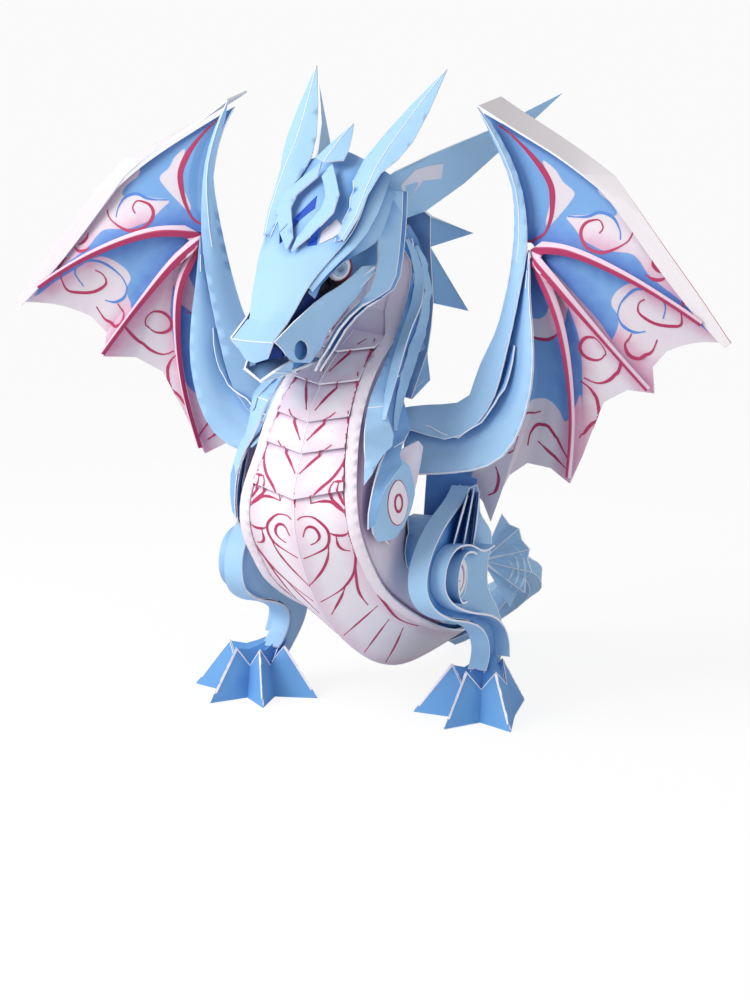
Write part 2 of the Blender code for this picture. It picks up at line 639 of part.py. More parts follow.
LEG = (
    ((8, 92), (18.5, 91)), ((2, 88), (21, 86)), ((-7, 85), (22, 79)), ((-18, 81), (34, 69)),
    ((-28, 75), (34, 62)), ((-35, 68), (30, 57)), ((-37, 60), (27, 53)), ((-33, 51.5), (25, 49)),
    ((-20, 44.5), (25, 46)), ((-4, 40), (27, 43)), ((7, 35.5), (29.5, 38.5)), ((12.5, 30), (31, 32)),
    ((10.5, 24), (28, 25)), ((3, 19), (22, 19.5)), ((-1, 14.6), (15, 14.6)),
)
SCROLL = ((22, 66), (10, 66), (-3, 71), (-17, 73), (-27, 70), (-31, 63.5), (-30, 56), (-22, 50), (-8, 45),
          (8, 40.5), (17, 35.5), (20.5, 29), (17, 22))
LEG_X = (36.6, 42.4)
SPLAY_FROM = 58.0   # height below which a leg leans outwards
SPLAY = {"left": 0.24, "right": 0.08}


def leaned(x, y, z, side):
    splay = SPLAY["left" if side > 0 else "right"]
    return Vector((side * (x + splay * max(SPLAY_FROM - z, 0.0)), y, z))


ankle_clearance = {}
for side_name, side in SIDES:
    front = spline([(0, y, z) for (y, z), _ in LEG], 24)
    rear = spline([(0, y, z) for _, (y, z) in LEG], 24)
    rings = []
    for k in range(24):
        a, b = front[k], rear[k]
        along = (front[min(k + 1, 23)] - front[max(k - 1, 0)]).normalized()
        y, z = a.y - 0.95 * along.z, a.z + 0.95 * along.y
        rings.append([leaned(LEG_X[0], y, z, side), leaned(LEG_X[1], y, z, side),
                      leaned(LEG_X[1], b.y, b.z, side), leaned(LEG_X[0], b.y, b.z, side)])
    leg = place("leg_core_" + side_name, loft_mesh("leg_core_" + side_name, rings), MID)
    hip = [(16 * cos(a) - 2, 12 * sin(a) + 69) for a in [2 * pi * k / 14 for k in range(14)]]
    low, high = sorted((side * 22.0, side * 38.0))
    hip_block = helper("hip_block_" + side_name, prism_mesh("hip_block_" + side_name, hip, low, high))
    boolean(leg, hip_block, "UNION")
    boolean(leg, trunk_cutter, "DIFFERENCE")
    ankle = []
    for k in range(20, 24):
        middle = sum(rings[k], Vector()) / 4
        ankle.append([middle + (p - middle) * (1 + 2 * GAP / (LEG_X[1] - LEG_X[0])) for p in rings[k]])
    ankle_clearance[side_name] = helper("ankle_clearance_" + side_name,
                                        loft_mesh("ankle_clearance_" + side_name, longer(ankle, GAP)))
    rows = [[leaned(35.8, p.y, p.z, side), leaned(43.6, p.y, p.z, side)] for p in front[:-1]]
    sheet("leg_ribbon_" + side_name, rows, (0, -1, 0), LIGHT)
    path = spline([(0, y, z) for y, z in SCROLL], 26)
    rows = [[leaned(42.9, p.y, p.z, side), leaned(49.0, p.y, p.z, side)] for p in path]
    sheet("leg_scroll_" + side_name, rows, (0, 0, 1), LIGHT)
    disc = [(-13 + 9 * cos(a), 59 + 8.2 * sin(a)) for a in [2 * pi * k / 20 for k in range(20)]]
    low, high = sorted((side * 41.0, side * 47.5))
    boolean(leg, helper("knee_disc_" + side_name, prism_mesh("knee_disc_" + side_name, disc, low, high)), "UNION")

floor_outline = ((-90, -10), (90, -10), (90, 0), (-90, 0))
floor_block = helper("floor_block", prism_mesh("floor_block", floor_outline, -90.0, 90.0))
FOOT_AT = {"left": (50.5, 6.5), "right": (48.5, 3.0)}
TOES = {"left": (197, 258, 314, 435), "right": (183, 252, 300, 356, 450)}     # toe directions, in degrees
TOE_REACH = 28.0
TOE_TOP = (12.5, 20.0)      # radius and height where the fold of a toe starts
NOTCH_TOP = (9.0, 12.5)
NOTCH_LOW = 12.5
for side_name, side in SIDES:
    centre = Vector((FOOT_AT[side_name][0] * side, FOOT_AT[side_name][1], 0))
    toes = TOES[side_name]
    folds = []
    for a, b in zip(toes, toes[1:] + (toes[0] + 360,)):
        folds += [(a, True), ((a + b) / 2, False)]
    rows = []
    for angle, tip in folds + folds[:1]:
        out = Vector((cos(radians(angle)), sin(radians(angle)), 0))
        radius, height = TOE_TOP if tip else NOTCH_TOP
        low = out * (TOE_REACH if tip else NOTCH_LOW) - Vector((0, 0, 0.5))
        rows.append([centre + low, centre + out * radius + Vector((0, 0, height))])
    foot = sheet("foot_" + side_name, rows, (0, -1, 0), MID)
    boolean(foot, ankle_clearance[side_name], "DIFFERENCE")
    boolean(foot, floor_block, "DIFFERENCE")

# Tail: a tapering folded body that curls round to the dragon's left, with a pleated fan at its end.

TAIL_PATH = ((0, 97, 14), (0, 106, 10.2), (3, 120, 12), (11, 124, 18), (22, 120, 25), (31, 109, 32),
             (36, 96, 39), (37, 84, 45), (34, 72, 50), (30, 64, 52))


def tail_rings(grow):
    path = spline(TAIL_PATH, 17)
    rings = []
    for k, p in enumerate(path):
        along = (path[min(k + 1, 16)] - path[max(k - 1, 0)]).normalized()
        across = along.cross(Vector((0, 0, 1))).normalized()
        up = across.cross(along)
        size = 10.5 - 7.0 * k / 16 + grow
        end = along * grow * (1 if k == 16 else -1 if k == 0 else 0)
        rings.append([p + end + across * size * cos(radians(a)) + up * size * 0.95 * sin(radians(a))
                      for a in (30, 90, 150, 215, 270, 325)])
    return rings


tail = place("tail", loft_mesh("tail", tail_rings(0.0)), LIGHT)
boolean(tail, trunk_cutter, "DIFFERENCE")
boolean(tail, belly_clearance, "DIFFERENCE")
tail_cutter = helper("tail_cutter", loft_mesh("tail_cutter", tail_rings(GAP)))
FAN_AT = Vector((28, 61, 50))
FAN_RADIUS = 23.0
points = []
for k in range(11):
    angle = radians(66 - 12 * k)
    out = Vector((cos(angle), 0, sin(angle)))
    fold = Vector((0, 1.4 if k % 2 else -1.4, 0))
    points += [FAN_AT + out * 3.0, FAN_AT + out * 13 + fold * 0.7, FAN_AT + out * (FAN_RADIUS - 3 * (k % 2)) + fold]
fan_sheet = card("tail_fan", points, grid_faces(11, 3), (0, -1, 0), LIGHT)
boolean(fan_sheet, tail_cutter, "DIFFERENCE")

# Head, in its own frame: x to the dragon's left, -y towards the nose, z out of the forehead.

CORE = ((-77, 8.2, 4, 14), (-62, 8.8, 0, 20.6), (-50, 10.8, -1, 25), (-38, 13.4, -2, 28.6), (-24, 15.0, -4, 32.7),
        (-10, 16.5, -4, 36.2), (4, 16.0, 0, 37.2), (14, 11.0, 8, 30))


def head_rings(grow):
    rings = []
    for k, (y, half, low, high) in enumerate(CORE):
        y += grow * (1 if k == len(CORE) - 1 else -1 if k == 0 else 0)
        half, low, high = half + grow, low - grow, high + grow
        middle = (low + high) / 2
        rings.append([(0, y, low), (half * 0.8, y, low + 1.5), (half, y, middle), (half * 0.7, y, high - 2.6),
                      (0, y, high), (-half * 0.7, y, high - 2.6), (-half, y, middle), (-half * 0.8, y, low + 1.5)])
    return rings


head_core = place("head_core", loft_mesh("head_core", head_rings(0.0)), DEEP, head)
boolean(head_core, trunk_cutter, "DIFFERENCE")

TOP_MIDDLE = ((0, -69, 18.5), (0, -60, 22.5), (0, -47, 27), (0, -33, 31), (0, -18, 35.5), (0, -4, 38.5), (0, 8, 38))
TOP_BROW = ((9, -68, 16.2), (11, -62, 19), (12.5, -55, 22.5), (15.5, -42, 24.5), (20.5, -28, 27), (21.5, -16, 32.5),
            (17, 2, 36))
rows = []
for a, b in zip(TOP_MIDDLE, TOP_BROW):
    a, b = Vector(a), Vector(b)
    rows.append([Vector((-b.x, b.y, b.z)), Vector((-b.x * 0.5, (a.y + b.y) / 2, (a.z + b.z) / 2 + 0.8)), a,
                 Vector((b.x * 0.5, (a.y + b.y) / 2, (a.z + b.z) / 2 + 0.8)), b])
sheet("forehead", rows, (0, 0, 1), LIGHT, parent=head)
forehead_clearance = clearance("forehead_clearance", rows, (0, 0, 1), 0, head)

points = [(-9.3, -69.5, 16.5), (0, -70.5, 18.6), (9.3, -69.5, 16.5), (-9.5, -80.5, 16.5), (0, -81.5, 17),
          (9.5, -80.5, 16.5), (-4, -84, 10), (0, -84.5, 9), (6, -83, 10.5)]
faces = [[0, 1, 4, 3], [1, 2, 5, 4], [3, 4, 7, 6], [4, 5, 8, 7]]
card("nose_cap", points, faces, (0, -0.5, 1), LIGHT, parent=head)

SIDE_UPPER = ((10.3, -80.5, 17.2), (11.3, -68, 16.2), (13.6, -56, 15.6), (15.4, -50, 15.2), (17.6, -42.3, 13.6),
              (19.5, -36.8, 13.6), (20.8, -31, 13.5), (21.8, -25.5, 9))
SIDE_LOWER = ((10.3, -78, 8), (11, -76, 3), (12.8, -70.5, -2), (14.5, -64, -0.5), (16, -57.5, 3.3),
              (17.5, -50.5, 4.6), (19.6, -40, 5.4), (22, -24.5, 7.5))
snout_clearance = {}
for side_name, side in SIDES:
    rows = []
    for a, b in zip(SIDE_UPPER, SIDE_LOWER):
        a, b = Vector(a), Vector(b)
        rows.append(mirrored((a, a.lerp(b, 0.33) + Vector((0.7, 0, 0)), a.lerp(b, 0.67) + Vector((0.7, 0, 0)), b), side))
    snout = sheet("snout_side_" + side_name, rows, (side, 0, 0), LIGHT, parent=head)
    ring = [(-71.5 + 3.4 * cos(a), 5.2 + 4.2 * sin(a)) for a in [2 * pi * k / 20 for k in range(20)]]
    low, high = sorted((side * 9.0, side * 18.0))
    nostril = helper("nostril_cutter_" + side_name, prism_mesh("nostril_cutter_" + side_name, ring, low, high), head)
    boolean(snout, nostril, "DIFFERENCE")
    snout_clearance[side_name] = clearance("snout_clearance_" + side_name, rows, (side, 0, 0), 0, head)

LID_EDGE = ((13.6, -54.5, 16.8), (14.5, -49.8, 19.2), (16.5, -44, 20.2), (19, -39, 21.2), (20.8, -33.5, 20.8),
            (22, -27, 18.5), (23, -21.5, 17.5), (24, -16, 19), (24.5, -9, 22.5), (24, -1, 26))
LID_TOP = ((12.2, -55, 20), (13, -50, 21.6), (14.6, -44, 22.2), (16.8, -38.5, 22.8), (18.8, -33, 23.4),
           (19.8, -27, 24), (20.2, -21, 26), (20.4, -15, 28.5), (20, -8, 31), (19.5, -1, 32))
lid_clearance = {}
for side_name, side in SIDES:
    rows = [mirrored((a, b), side) for a, b in zip(LID_TOP, LID_EDGE)]
    lid = sheet("eyelid_" + side_name, rows, (side, 0, 0.5), LIGHT, parent=head)
    boolean(lid, forehead_clearance, "DIFFERENCE")
    boolean(lid, snout_clearance[side_name], "DIFFERENCE")
    lid_clearance[side_name] = clearance("lid_clearance_" + side_name, rows, (side, 0, 0.5), 0, head)

CHEEK_EDGE = ((25, 2, 24), (25.5, -4, 17.5), (26, -10, 12), (26, -15.5, 6.5), (26, -21.5, 1.3), (25.3, -27, -1),
              (24, -34, 0.2), (22.4, -41, 2.2), (20.8, -48.5, 2.6), (19, -55, 1.4), (17.2, -61.5, -1.4), (15.4, -68, -3.6))
CHEEK_INNER = ((21, -3, 29), (21.2, -11, 24.5), (22.2, -18, 18), (23.3, -24, 11.5), (23.2, -29, 7), (22, -34, 3.8),
               (20.2, -39.5, 2), (18, -46, 1.2), (16.2, -52.5, -0.2), (14.7, -58.5, -2.4), (13.2, -64, -5.6),
               (12.2, -69, -7.8))
for side_name, side in SIDES:
    rows = [mirrored((a, b), side) for a, b in zip(CHEEK_INNER, CHEEK_EDGE)]
    cheek = sheet("cheek_front_" + side_name, rows, (side, -0.5, 0.5), LIGHT, parent=head, lift=0.2)
    boolean(cheek, lid_clearance[side_name], "DIFFERENCE")
    rows = [mirrored((Vector(a) + Vector((-0.2, 2.4, -2)), Vector(b) + Vector((0.3, 2.4, -2))), side)
            for a, b in zip(CHEEK_INNER, CHEEK_EDGE)]
    cheek = sheet("cheek_rear_" + side_name, rows, (side, -0.5, 0.5), LIGHT, parent=head, lift=-0.2)
    boolean(cheek, snout_clearance[side_name], "DIFFERENCE")

points = [(0, -86, 1), (10, -79, 0.5), (-10, -79, 0.5), (0, -86, 6), (7, -84, 5), (-7, -84, 5), (0, -62, -7),
          (11.5, -62, -8), (-11.5, -62, -8), (10.6, -75, 4), (-10.6, -75, 4)]
faces = [[0, 1, 7, 6], [2, 0, 6, 8], [0, 4, 9, 1], [0, 5, 10, 2]]
jaw = card("lower_jaw", points, faces, (0, 0, 1), LIGHT, parent=head)
for side_name, side in SIDES:
    boolean(jaw, snout_clearance[side_name], "DIFFERENCE")

EYE_AT = (14.7, -38.0, 15.4)
EYE_RADII = (4.2, 5.4, 4.4)
for side_name, side in SIDES:
    ball = bpy.data.meshes.new("eye_ball_" + side_name)
    work = bmesh.new()
    bmesh.ops.create_uvsphere(work, u_segments=14, v_segments=8, radius=MM)
    bmesh.ops.scale(work, verts=work.verts, vec=EYE_RADII)
    bmesh.ops.translate(work, verts=work.verts, vec=Vector((side * EYE_AT[0], *EYE_AT[1:])) * MM)
    work.to_mesh(ball)
    work.free()
    boolean(head_core, helper("eye_ball_" + side_name, ball, head), "UNION")

# Horns are roof-shaped folds that run on forwards as raised brow bands; the ears are long blades.

HORN = (
    ((31.3, 47, 48), 0, 0), ((27.2, 31, 44.5), 0.6, 0.6), ((24.2, 18, 41.5), 1.0, 0.9), ((22.2, 8, 39.5), 1.1, 0.8),
    ((21.2, -2, 37.5), 1.0, 0.35), ((20.6, -12, 34.2), 0.8, 0.2), ((20.2, -22, 30), 0.7, 0.15),
    ((18, -32, 26.6), 0.45, 0.12),
)
for side_name, side in SIDES:
    rows = []
    for ridge, inner, outer in HORN:
        ridge = Vector(ridge)
        rows.append(mirrored((ridge + Vector((-8.3, -4.7, -2.4)) * inner, ridge, ridge + Vector((5.9, -4.7, -3.4)) * outer),
                             side))
    horn = sheet("horn_" + side_name, rows, (0, -0.3, 1), LIGHT, parent=head, lift=1.6)
    boolean(horn, forehead_clearance, "DIFFERENCE")
    boolean(horn, lid_clearance[side_name], "DIFFERENCE")

head_cutter_mesh = loft_mesh("head_cutter", head_rings(GAP))
head_cutter = helper("head_cutter", head_cutter_mesh, head)
for band in bands:
    boolean(band, head_cutter, "DIFFERENCE")
EAR_FOLD = ((60, 74, 18.6), (42, 46.7, 17), (30, 26.4, 18), (21, 10, 19.5), (14, 0, 20))
EAR_TOP = ((59.8, 73.8, 18.8), (40.5, 45, 21), (27.5, 23.5, 25.5), (19.5, 9, 28), (13, 0, 27))
EAR_LOW = ((59.8, 73.8, 18.2), (42, 47, 10), (32, 30, 6), (23, 12.5, 5.5), (15, 2, 8))
for side_name, side in SIDES:
    rows = [mirrored((a, b, c), side) for a, b, c in zip(EAR_TOP, EAR_FOLD, EAR_LOW)]
    rows[0] = [rows[0][1]] * 3
    ear = sheet("ear_" + side_name, rows, (side, -1, 0.4), MID, parent=head)
    boolean(ear, head_cutter, "DIFFERENCE")

# Crown: two bent strips that meet in a lozenge on the forehead, with a folded spike behind them.

CROWN_OUTER = ((1.2, -43, 29.5), (7.5, -36, 32), (13.5, -26, 35.5), (12.5, -18, 38), (7, -10, 40), (2.5, -4, 41.5))
CROWN_INNER = ((1, -37, 31), (3.5, -32, 33.2), (7.2, -25, 35.8), (7, -19.5, 37.6), (3.5, -14, 39), (1, -11, 40))
for side_name, side in SIDES:
    rows = [mirrored((a, b), side) for a, b in zip(CROWN_OUTER, CROWN_INNER)]
    plate = sheet("crown_plate_" + side_name, rows, (0, 0, 1), LIGHT, parent=head, lift=0.2)
    boolean(plate, forehead_clearance, "DIFFERENCE")
rows = [[(-5, -3, 42.5), (1, -6, 43.4), (7.5, -3, 42)], [(-1.5, 4, 44), (2.5, 3, 45.5), (7.5, 4, 43.5)],
        [(3.5, 15, 45.5)] * 3]
sheet("crown_spike", rows, (0, -0.3, 1), MID, parent=head, lift=0.5)
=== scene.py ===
import json
import math

import bmesh
import bpy
import numpy as np
from bpy.props import FloatProperty, FloatVectorProperty, IntProperty, PointerProperty
from mathutils import Matrix, Vector
from mathutils.bvhtree import BVHTree
from mathutils.kdtree import KDTree

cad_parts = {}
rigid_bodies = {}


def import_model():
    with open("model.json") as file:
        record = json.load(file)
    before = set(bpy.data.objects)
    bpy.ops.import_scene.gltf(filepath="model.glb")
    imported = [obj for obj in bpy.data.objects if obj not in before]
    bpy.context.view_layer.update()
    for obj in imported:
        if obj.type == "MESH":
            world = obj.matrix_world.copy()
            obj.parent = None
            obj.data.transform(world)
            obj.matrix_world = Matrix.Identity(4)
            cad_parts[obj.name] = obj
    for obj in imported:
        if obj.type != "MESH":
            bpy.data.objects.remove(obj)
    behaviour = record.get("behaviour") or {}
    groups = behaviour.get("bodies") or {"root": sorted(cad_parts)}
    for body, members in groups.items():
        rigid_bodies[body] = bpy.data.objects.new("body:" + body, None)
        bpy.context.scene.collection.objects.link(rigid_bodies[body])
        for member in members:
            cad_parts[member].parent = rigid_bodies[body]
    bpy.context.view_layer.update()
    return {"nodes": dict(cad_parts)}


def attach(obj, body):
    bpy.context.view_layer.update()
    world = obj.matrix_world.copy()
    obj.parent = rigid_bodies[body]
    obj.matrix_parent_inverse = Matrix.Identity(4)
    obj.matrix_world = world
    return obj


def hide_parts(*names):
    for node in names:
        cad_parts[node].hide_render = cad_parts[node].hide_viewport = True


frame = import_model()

bl_info = {
    "name": "Folded Card Dragon",
    "version": (1, 0, 0),
    "blender": (4, 5, 0),
    "location": "3D View > Sidebar > Card Dragon",
    "description": "Finishes the folded card dragon with printed card, cut edges, scrollwork and a studio",
    "category": "Object",
}

MM = 0.001
SIDES = (("left", 1.0), ("right", -1.0))

# The whole figure is moved this far along y, so that the middle of its depth is at 0, in millimetres.
STANCE = -29.93
# The head turns and nods as one; its own points are written in this frame.
HEAD = (
    Matrix.Translation(Vector((0, 5 + STANCE, 190)) * MM)
    @ Matrix.Rotation(math.radians(-11), 4, "Z")
    @ Matrix.Rotation(math.radians(35), 4, "X")
)

# Kinds of card and ink: the recipe in stock and the slot.
LIGHT, LIGHT_ON_MID = ("light blue card", "light_blue_card"), ("light blue card", "mid_blue_card")
MID, FOOT = ("mid blue card", "mid_blue_card"), ("foot card", "mid_blue_card")
WHITE, PRINTED = ("white card", "white_card"), ("printed card", "printed_card")
SHADE, SLOT_SHADE = ("shade card", "deep_blue_card"), ("slot card", "deep_blue_card")
LILAC, WHITE_INK = ("lilac card", "white_card"), ("white ink", "white_card")
PINK_INK, PALE_INK = ("pink ink", "pink_card"), ("pale ink", "light_blue_card")
BLUE_INK = ("blue ink", "mid_blue_card")

# Points closer than this are one point, and a longer edge is cut for the fold shade, in metres.
WELD, POINT_SPACING = 2e-6, 0.0042
# Edges sharper than this bound a region of card.
SHARP_BORDER = math.radians(40)
# A fold angle in degrees that no fold reaches, and the least bend of a fold on the keel.
NO_FOLDS, KEEL_BEND = 180, math.radians(4)
# Half the width of the keel and the height of a sliver, in metres.
KEEL_WIDTH, SLIVER = 0.0003, 0.0004
# Fold shade: rays at each point, their start off the card in metres, and the least cosine to its normal.
RAY_COUNT, RAY_START, STEEPEST_RAY = 36, 0.0006, 0.2
# Points that face the same way share it: their least cosine, the part shared, and the rounds on a card
# and on a rim strip.
SAME_WAY, EVENING, ROUNDS, ROUNDS_RIM = 0.3, 0.6, 7, 40
# A taper that keeps a printed line at its full width up to the ends.
BLUNT = 50
# Points round a circle every 15 degrees, closed.
CIRCLE = [(math.cos(k * 0.2618), math.sin(k * 0.2618)) for k in range(25)]


def srgb(red, green, blue):
    """A colour written as 0 to 255 screen values, as the linear values that Blender uses."""
    def linear(value):
        value /= 255
        return value / 12.92 if value <= 0.04045 else ((value + 0.055) / 1.055) ** 2.4
    return tuple(linear(v) for v in (red, green, blue))


# ---------------------------------------------------------------- settings

def colour(name, description, default):
    return FloatVectorProperty(name=name, description=description, default=default, subtype="COLOR",
                               min=0, max=1)


def number(name, description, default, unit="NONE", **facts):
    return FloatProperty(name=name, description=description, default=default, unit=unit, **facts)


class CardColours(bpy.types.PropertyGroup):
    light_blue: colour("Light blue", "Card of the head, bands and sleeves", srgb(162, 202, 237))
    # Painted shade of the light blue card, where it lies deep between the layers.
    light_painted_shade: colour("Light blue folds", "Light blue card deep between the layers", srgb(56, 124, 194))
    mid_blue: colour("Mid blue", "Card of the crest, feet, ears and wings", srgb(128, 174, 222))
    # Painted shade of the mid blue card and the feet, deep between the layers.
    mid_painted_shade: colour("Mid blue folds", "Mid blue card deep between the layers", srgb(40, 94, 180))
    # Painted shade: the dark blue of the head's core stands for the shade inside the head.
    core_painted_shade: colour("Deep blue", "Inside of the head behind the mouth and brows", srgb(34, 82, 172))
    foot_blue: colour("Foot blue", "Pleated card of the feet", srgb(102, 158, 214))
    # Painted shade: near black where the head's core shows round the eyes.
    socket: colour("Eye socket", "Dark card round the eyes", srgb(8, 10, 24))
    white: colour("Lavender white", "White card of the trunk, rims and hems", srgb(238, 233, 241))
    # Painted shade of the white card, deep between the layers.
    white_painted_shade: colour("White folds", "White card deep between the layers", srgb(196, 168, 198))
    pink: colour("Pink", "Card of the wing ribs and the printed lines", srgb(176, 56, 98))
    pink_wash: colour("Pink wash", "Tint that fades in from the edges of printed card", srgb(222, 160, 190))
    wing_blue: colour("Wing blue", "Blue fields of the wing sheets", srgb(118, 164, 216))
    # Painted shade of the wing's blue, beside the ribs and between the layers.
    wing_painted_shade: colour("Wing deep blue", "Blue fields near the ribs", srgb(62, 98, 184))
    wing_white: colour("Wing white", "White fields of the wing sheets and the rims", srgb(219, 211, 220))
    cut_edge: colour("Cut edge", "White core of the card along its cut edges", srgb(238, 242, 250))
    red_edge: colour("Red edge", "Coloured cut edge round the wings", srgb(222, 104, 118))


class CardSizes(bpy.types.PropertyGroup):
    edge_height: number("Cut edge height", "Faces lower than this are cut edges", 0.00098, "LENGTH")
    crease_angle: FloatProperty(name="Crease angle", description="Folds sharper than this stay crisp",
                                default=math.radians(24), subtype="ANGLE")
    smooth_levels: IntProperty(name="Smoothing", description="Subdivision levels of the curved cards",
                               default=2, min=0, max=4)
    # The pale line along a fold is worn white card, partly a painted highlight on the ridge.
    fold_line: number("Fold line", "Radius of the worn white line along a fold", 0.00022, "LENGTH")
    # How far off a layer still adds painted shade to a card.
    depth_reach: number("Fold shade reach", "How far off a layer still deepens a card", 0.014, "LENGTH")


class PrintSizes(bpy.types.PropertyGroup):
    width: number("Line width", "Width of the printed lines", 0.00112, "LENGTH")
    rise: number("Line rise", "How far the raised ink stands off the card", 0.00012, "LENGTH")
    step: number("Step", "Distance between the points along a line", 0.0007, "LENGTH")
    wash_reach: number("Wash reach", "How far the pink wash fades into a sheet", 0.007, "LENGTH")


class StudioSettings(bpy.types.PropertyGroup):
    key: number("Key light", "Power of the soft light in front on the left", 20.0, "POWER")
    fill: number("Fill light", "Power of the soft light on the right", 2.5, "POWER")
    sky: number("Sky", "Strength of the even light from all round", 0.42)
    paper: colour("Backdrop", "Colour of the floor and backdrop", srgb(250, 250, 250))


class DragonSettings(bpy.types.PropertyGroup):
    colours: PointerProperty(type=CardColours)
    sizes: PointerProperty(type=CardSizes)
    lines: PointerProperty(type=PrintSizes)
    studio: PointerProperty(type=StudioSettings)


def settings():
    return bpy.context.scene.card_dragon


# ---------------------------------------------------------------- node trees

def new_group(kind, name, sockets_in, sockets_out):
    """An empty node group with the sockets named, each as (name, socket type, default)."""
    tree = bpy.data.node_groups.new(name, kind)
    for direction, sockets in (("INPUT", sockets_in), ("OUTPUT", sockets_out)):
        for label, socket_type, *default in sockets:
            socket = tree.interface.new_socket(label, in_out=direction, socket_type=socket_type)
            if default:
                socket.default_value = default[0]
    return tree, tree.nodes.new("NodeGroupInput"), tree.nodes.new("NodeGroupOutput")


def feed(tree, socket, value):
    """Links a socket to another one or sets its value; a colour of three numbers gets its alpha."""
    if isinstance(value, bpy.types.NodeSocket):
        tree.links.new(value, socket)
    elif socket.type == "RGBA" and len(value) == 3:
        socket.default_value = (*value, 1.0)
    else:
        socket.default_value = value


def node(tree, kind, values=None, **facts):
    """A node with its properties set and its inputs linked to a socket or set to a value."""
    made = tree.nodes.new(kind)
    for key, value in facts.items():
        setattr(made, key, value)
    for key, value in (values or {}).items():
        feed(tree, made.inputs[key], value)
    return made


def blended(tree, factor, first, second):
    """The colour socket of a Mix node."""
    return node(tree, "ShaderNodeMix", {0: factor, 6: first, 7: second}, data_type="RGBA").outputs[2]


def maths(tree, operation, first, second):
    """The result socket of a Math node."""
    return node(tree, "ShaderNodeMath", {0: first, 1: second}, operation=operation).outputs[0]


def scaled(tree, vector, factor):
    """A vector or colour times a number."""
    return node(tree, "ShaderNodeVectorMath", {0: vector, 3: factor}, operation="SCALE").outputs[0]


def ranged(tree, value, low, high, onto=(0.0, 1.0), **facts):
    """A value moved from the span between low and high onto another span."""
    values = {"Value": value, 1: low, 2: high, 3: onto[0], 4: onto[1]}
    return node(tree, "ShaderNodeMapRange", values, **facts).outputs[0]


def noise(tree, place, scale, detail):
    """The grey socket of a Noise Texture."""
    values = {"Vector": place, "Scale": scale, "Detail": detail}
    return node(tree, "ShaderNodeTexNoise", values).outputs[0]


def object_place(tree):
    return node(tree, "ShaderNodeTexCoord").outputs["Object"]


def card_stock_group():
    """Matte dyed card: faint cloudy dye, short paper fibres, and painted shade, a deeper colour between the
    layers.
    """
    tree, given, result = new_group(
        "ShaderNodeTree", "Card Stock",
        (("Colour", "NodeSocketColor"), ("Fold Colour", "NodeSocketColor"),
         ("Depth", "NodeSocketFloat", 0.0), ("Cloud", "NodeSocketFloat", 0.06),
         ("Fibre", "NodeSocketFloat", 0.05)),
        (("Colour", "NodeSocketColor"), ("Roughness", "NodeSocketFloat"), ("Height", "NodeSocketFloat")))
    place = object_place(tree)
    stretched = node(tree, "ShaderNodeMapping", {"Vector": place, "Rotation": (0.4, 0.3, 0.8),
                                                 "Scale": (500.0, 2600.0, 900.0)}).outputs[0]
    cloud, fibre = noise(tree, place, 70.0, 3.0), noise(tree, stretched, 1.0, 4.0)
    tooth = noise(tree, place, 2400.0, 2.0)
    # Painted shade: the colour deepens towards its shade colour where the card lies closed in between layers.
    depth = ranged(tree, given.outputs["Depth"], 0.08, 0.64)
    dyed = blended(tree, depth, given.outputs["Colour"], given.outputs["Fold Colour"])
    for pattern, amount in ((cloud, "Cloud"), (fibre, "Fibre")):
        swing = maths(tree, "MULTIPLY", maths(tree, "SUBTRACT", pattern, 0.5), given.outputs[amount])
        dyed = scaled(tree, dyed, maths(tree, "ADD", swing, 1.0))
    feed(tree, result.inputs["Colour"], dyed)
    feed(tree, result.inputs["Roughness"], ranged(tree, cloud, 0.3, 0.7, (0.52, 0.66)))
    feed(tree, result.inputs["Height"], maths(tree, "ADD", fibre, tooth))
    return tree


def ink_and_shade_wash_group():
    """Airbrushed ink that fades in from the edge of a sheet, broken up a little; on the wing sheet's blue it
    is painted shade beside the ribs.
    """
    tree, given, result = new_group(
        "ShaderNodeTree", "Ink Wash",
        (("Colour", "NodeSocketColor"), ("Ink", "NodeSocketColor"), ("Edge", "NodeSocketFloat", 1.0),
         ("Amount", "NodeSocketFloat", 0.8)),
        (("Colour", "NodeSocketColor"),))
    shift = ranged(tree, noise(tree, object_place(tree), 160.0, 3.0), 0.3, 0.7, (-0.12, 0.12))
    edge = maths(tree, "ADD", given.outputs["Edge"], shift)
    fade = ranged(tree, edge, 0.0, 1.0, (1.0, 0.0), interpolation_type="SMOOTHSTEP")
    amount = maths(tree, "MULTIPLY", fade, given.outputs["Amount"])
    feed(tree, result.inputs[0], blended(tree, amount, given.outputs["Colour"], given.outputs["Ink"]))
    return tree


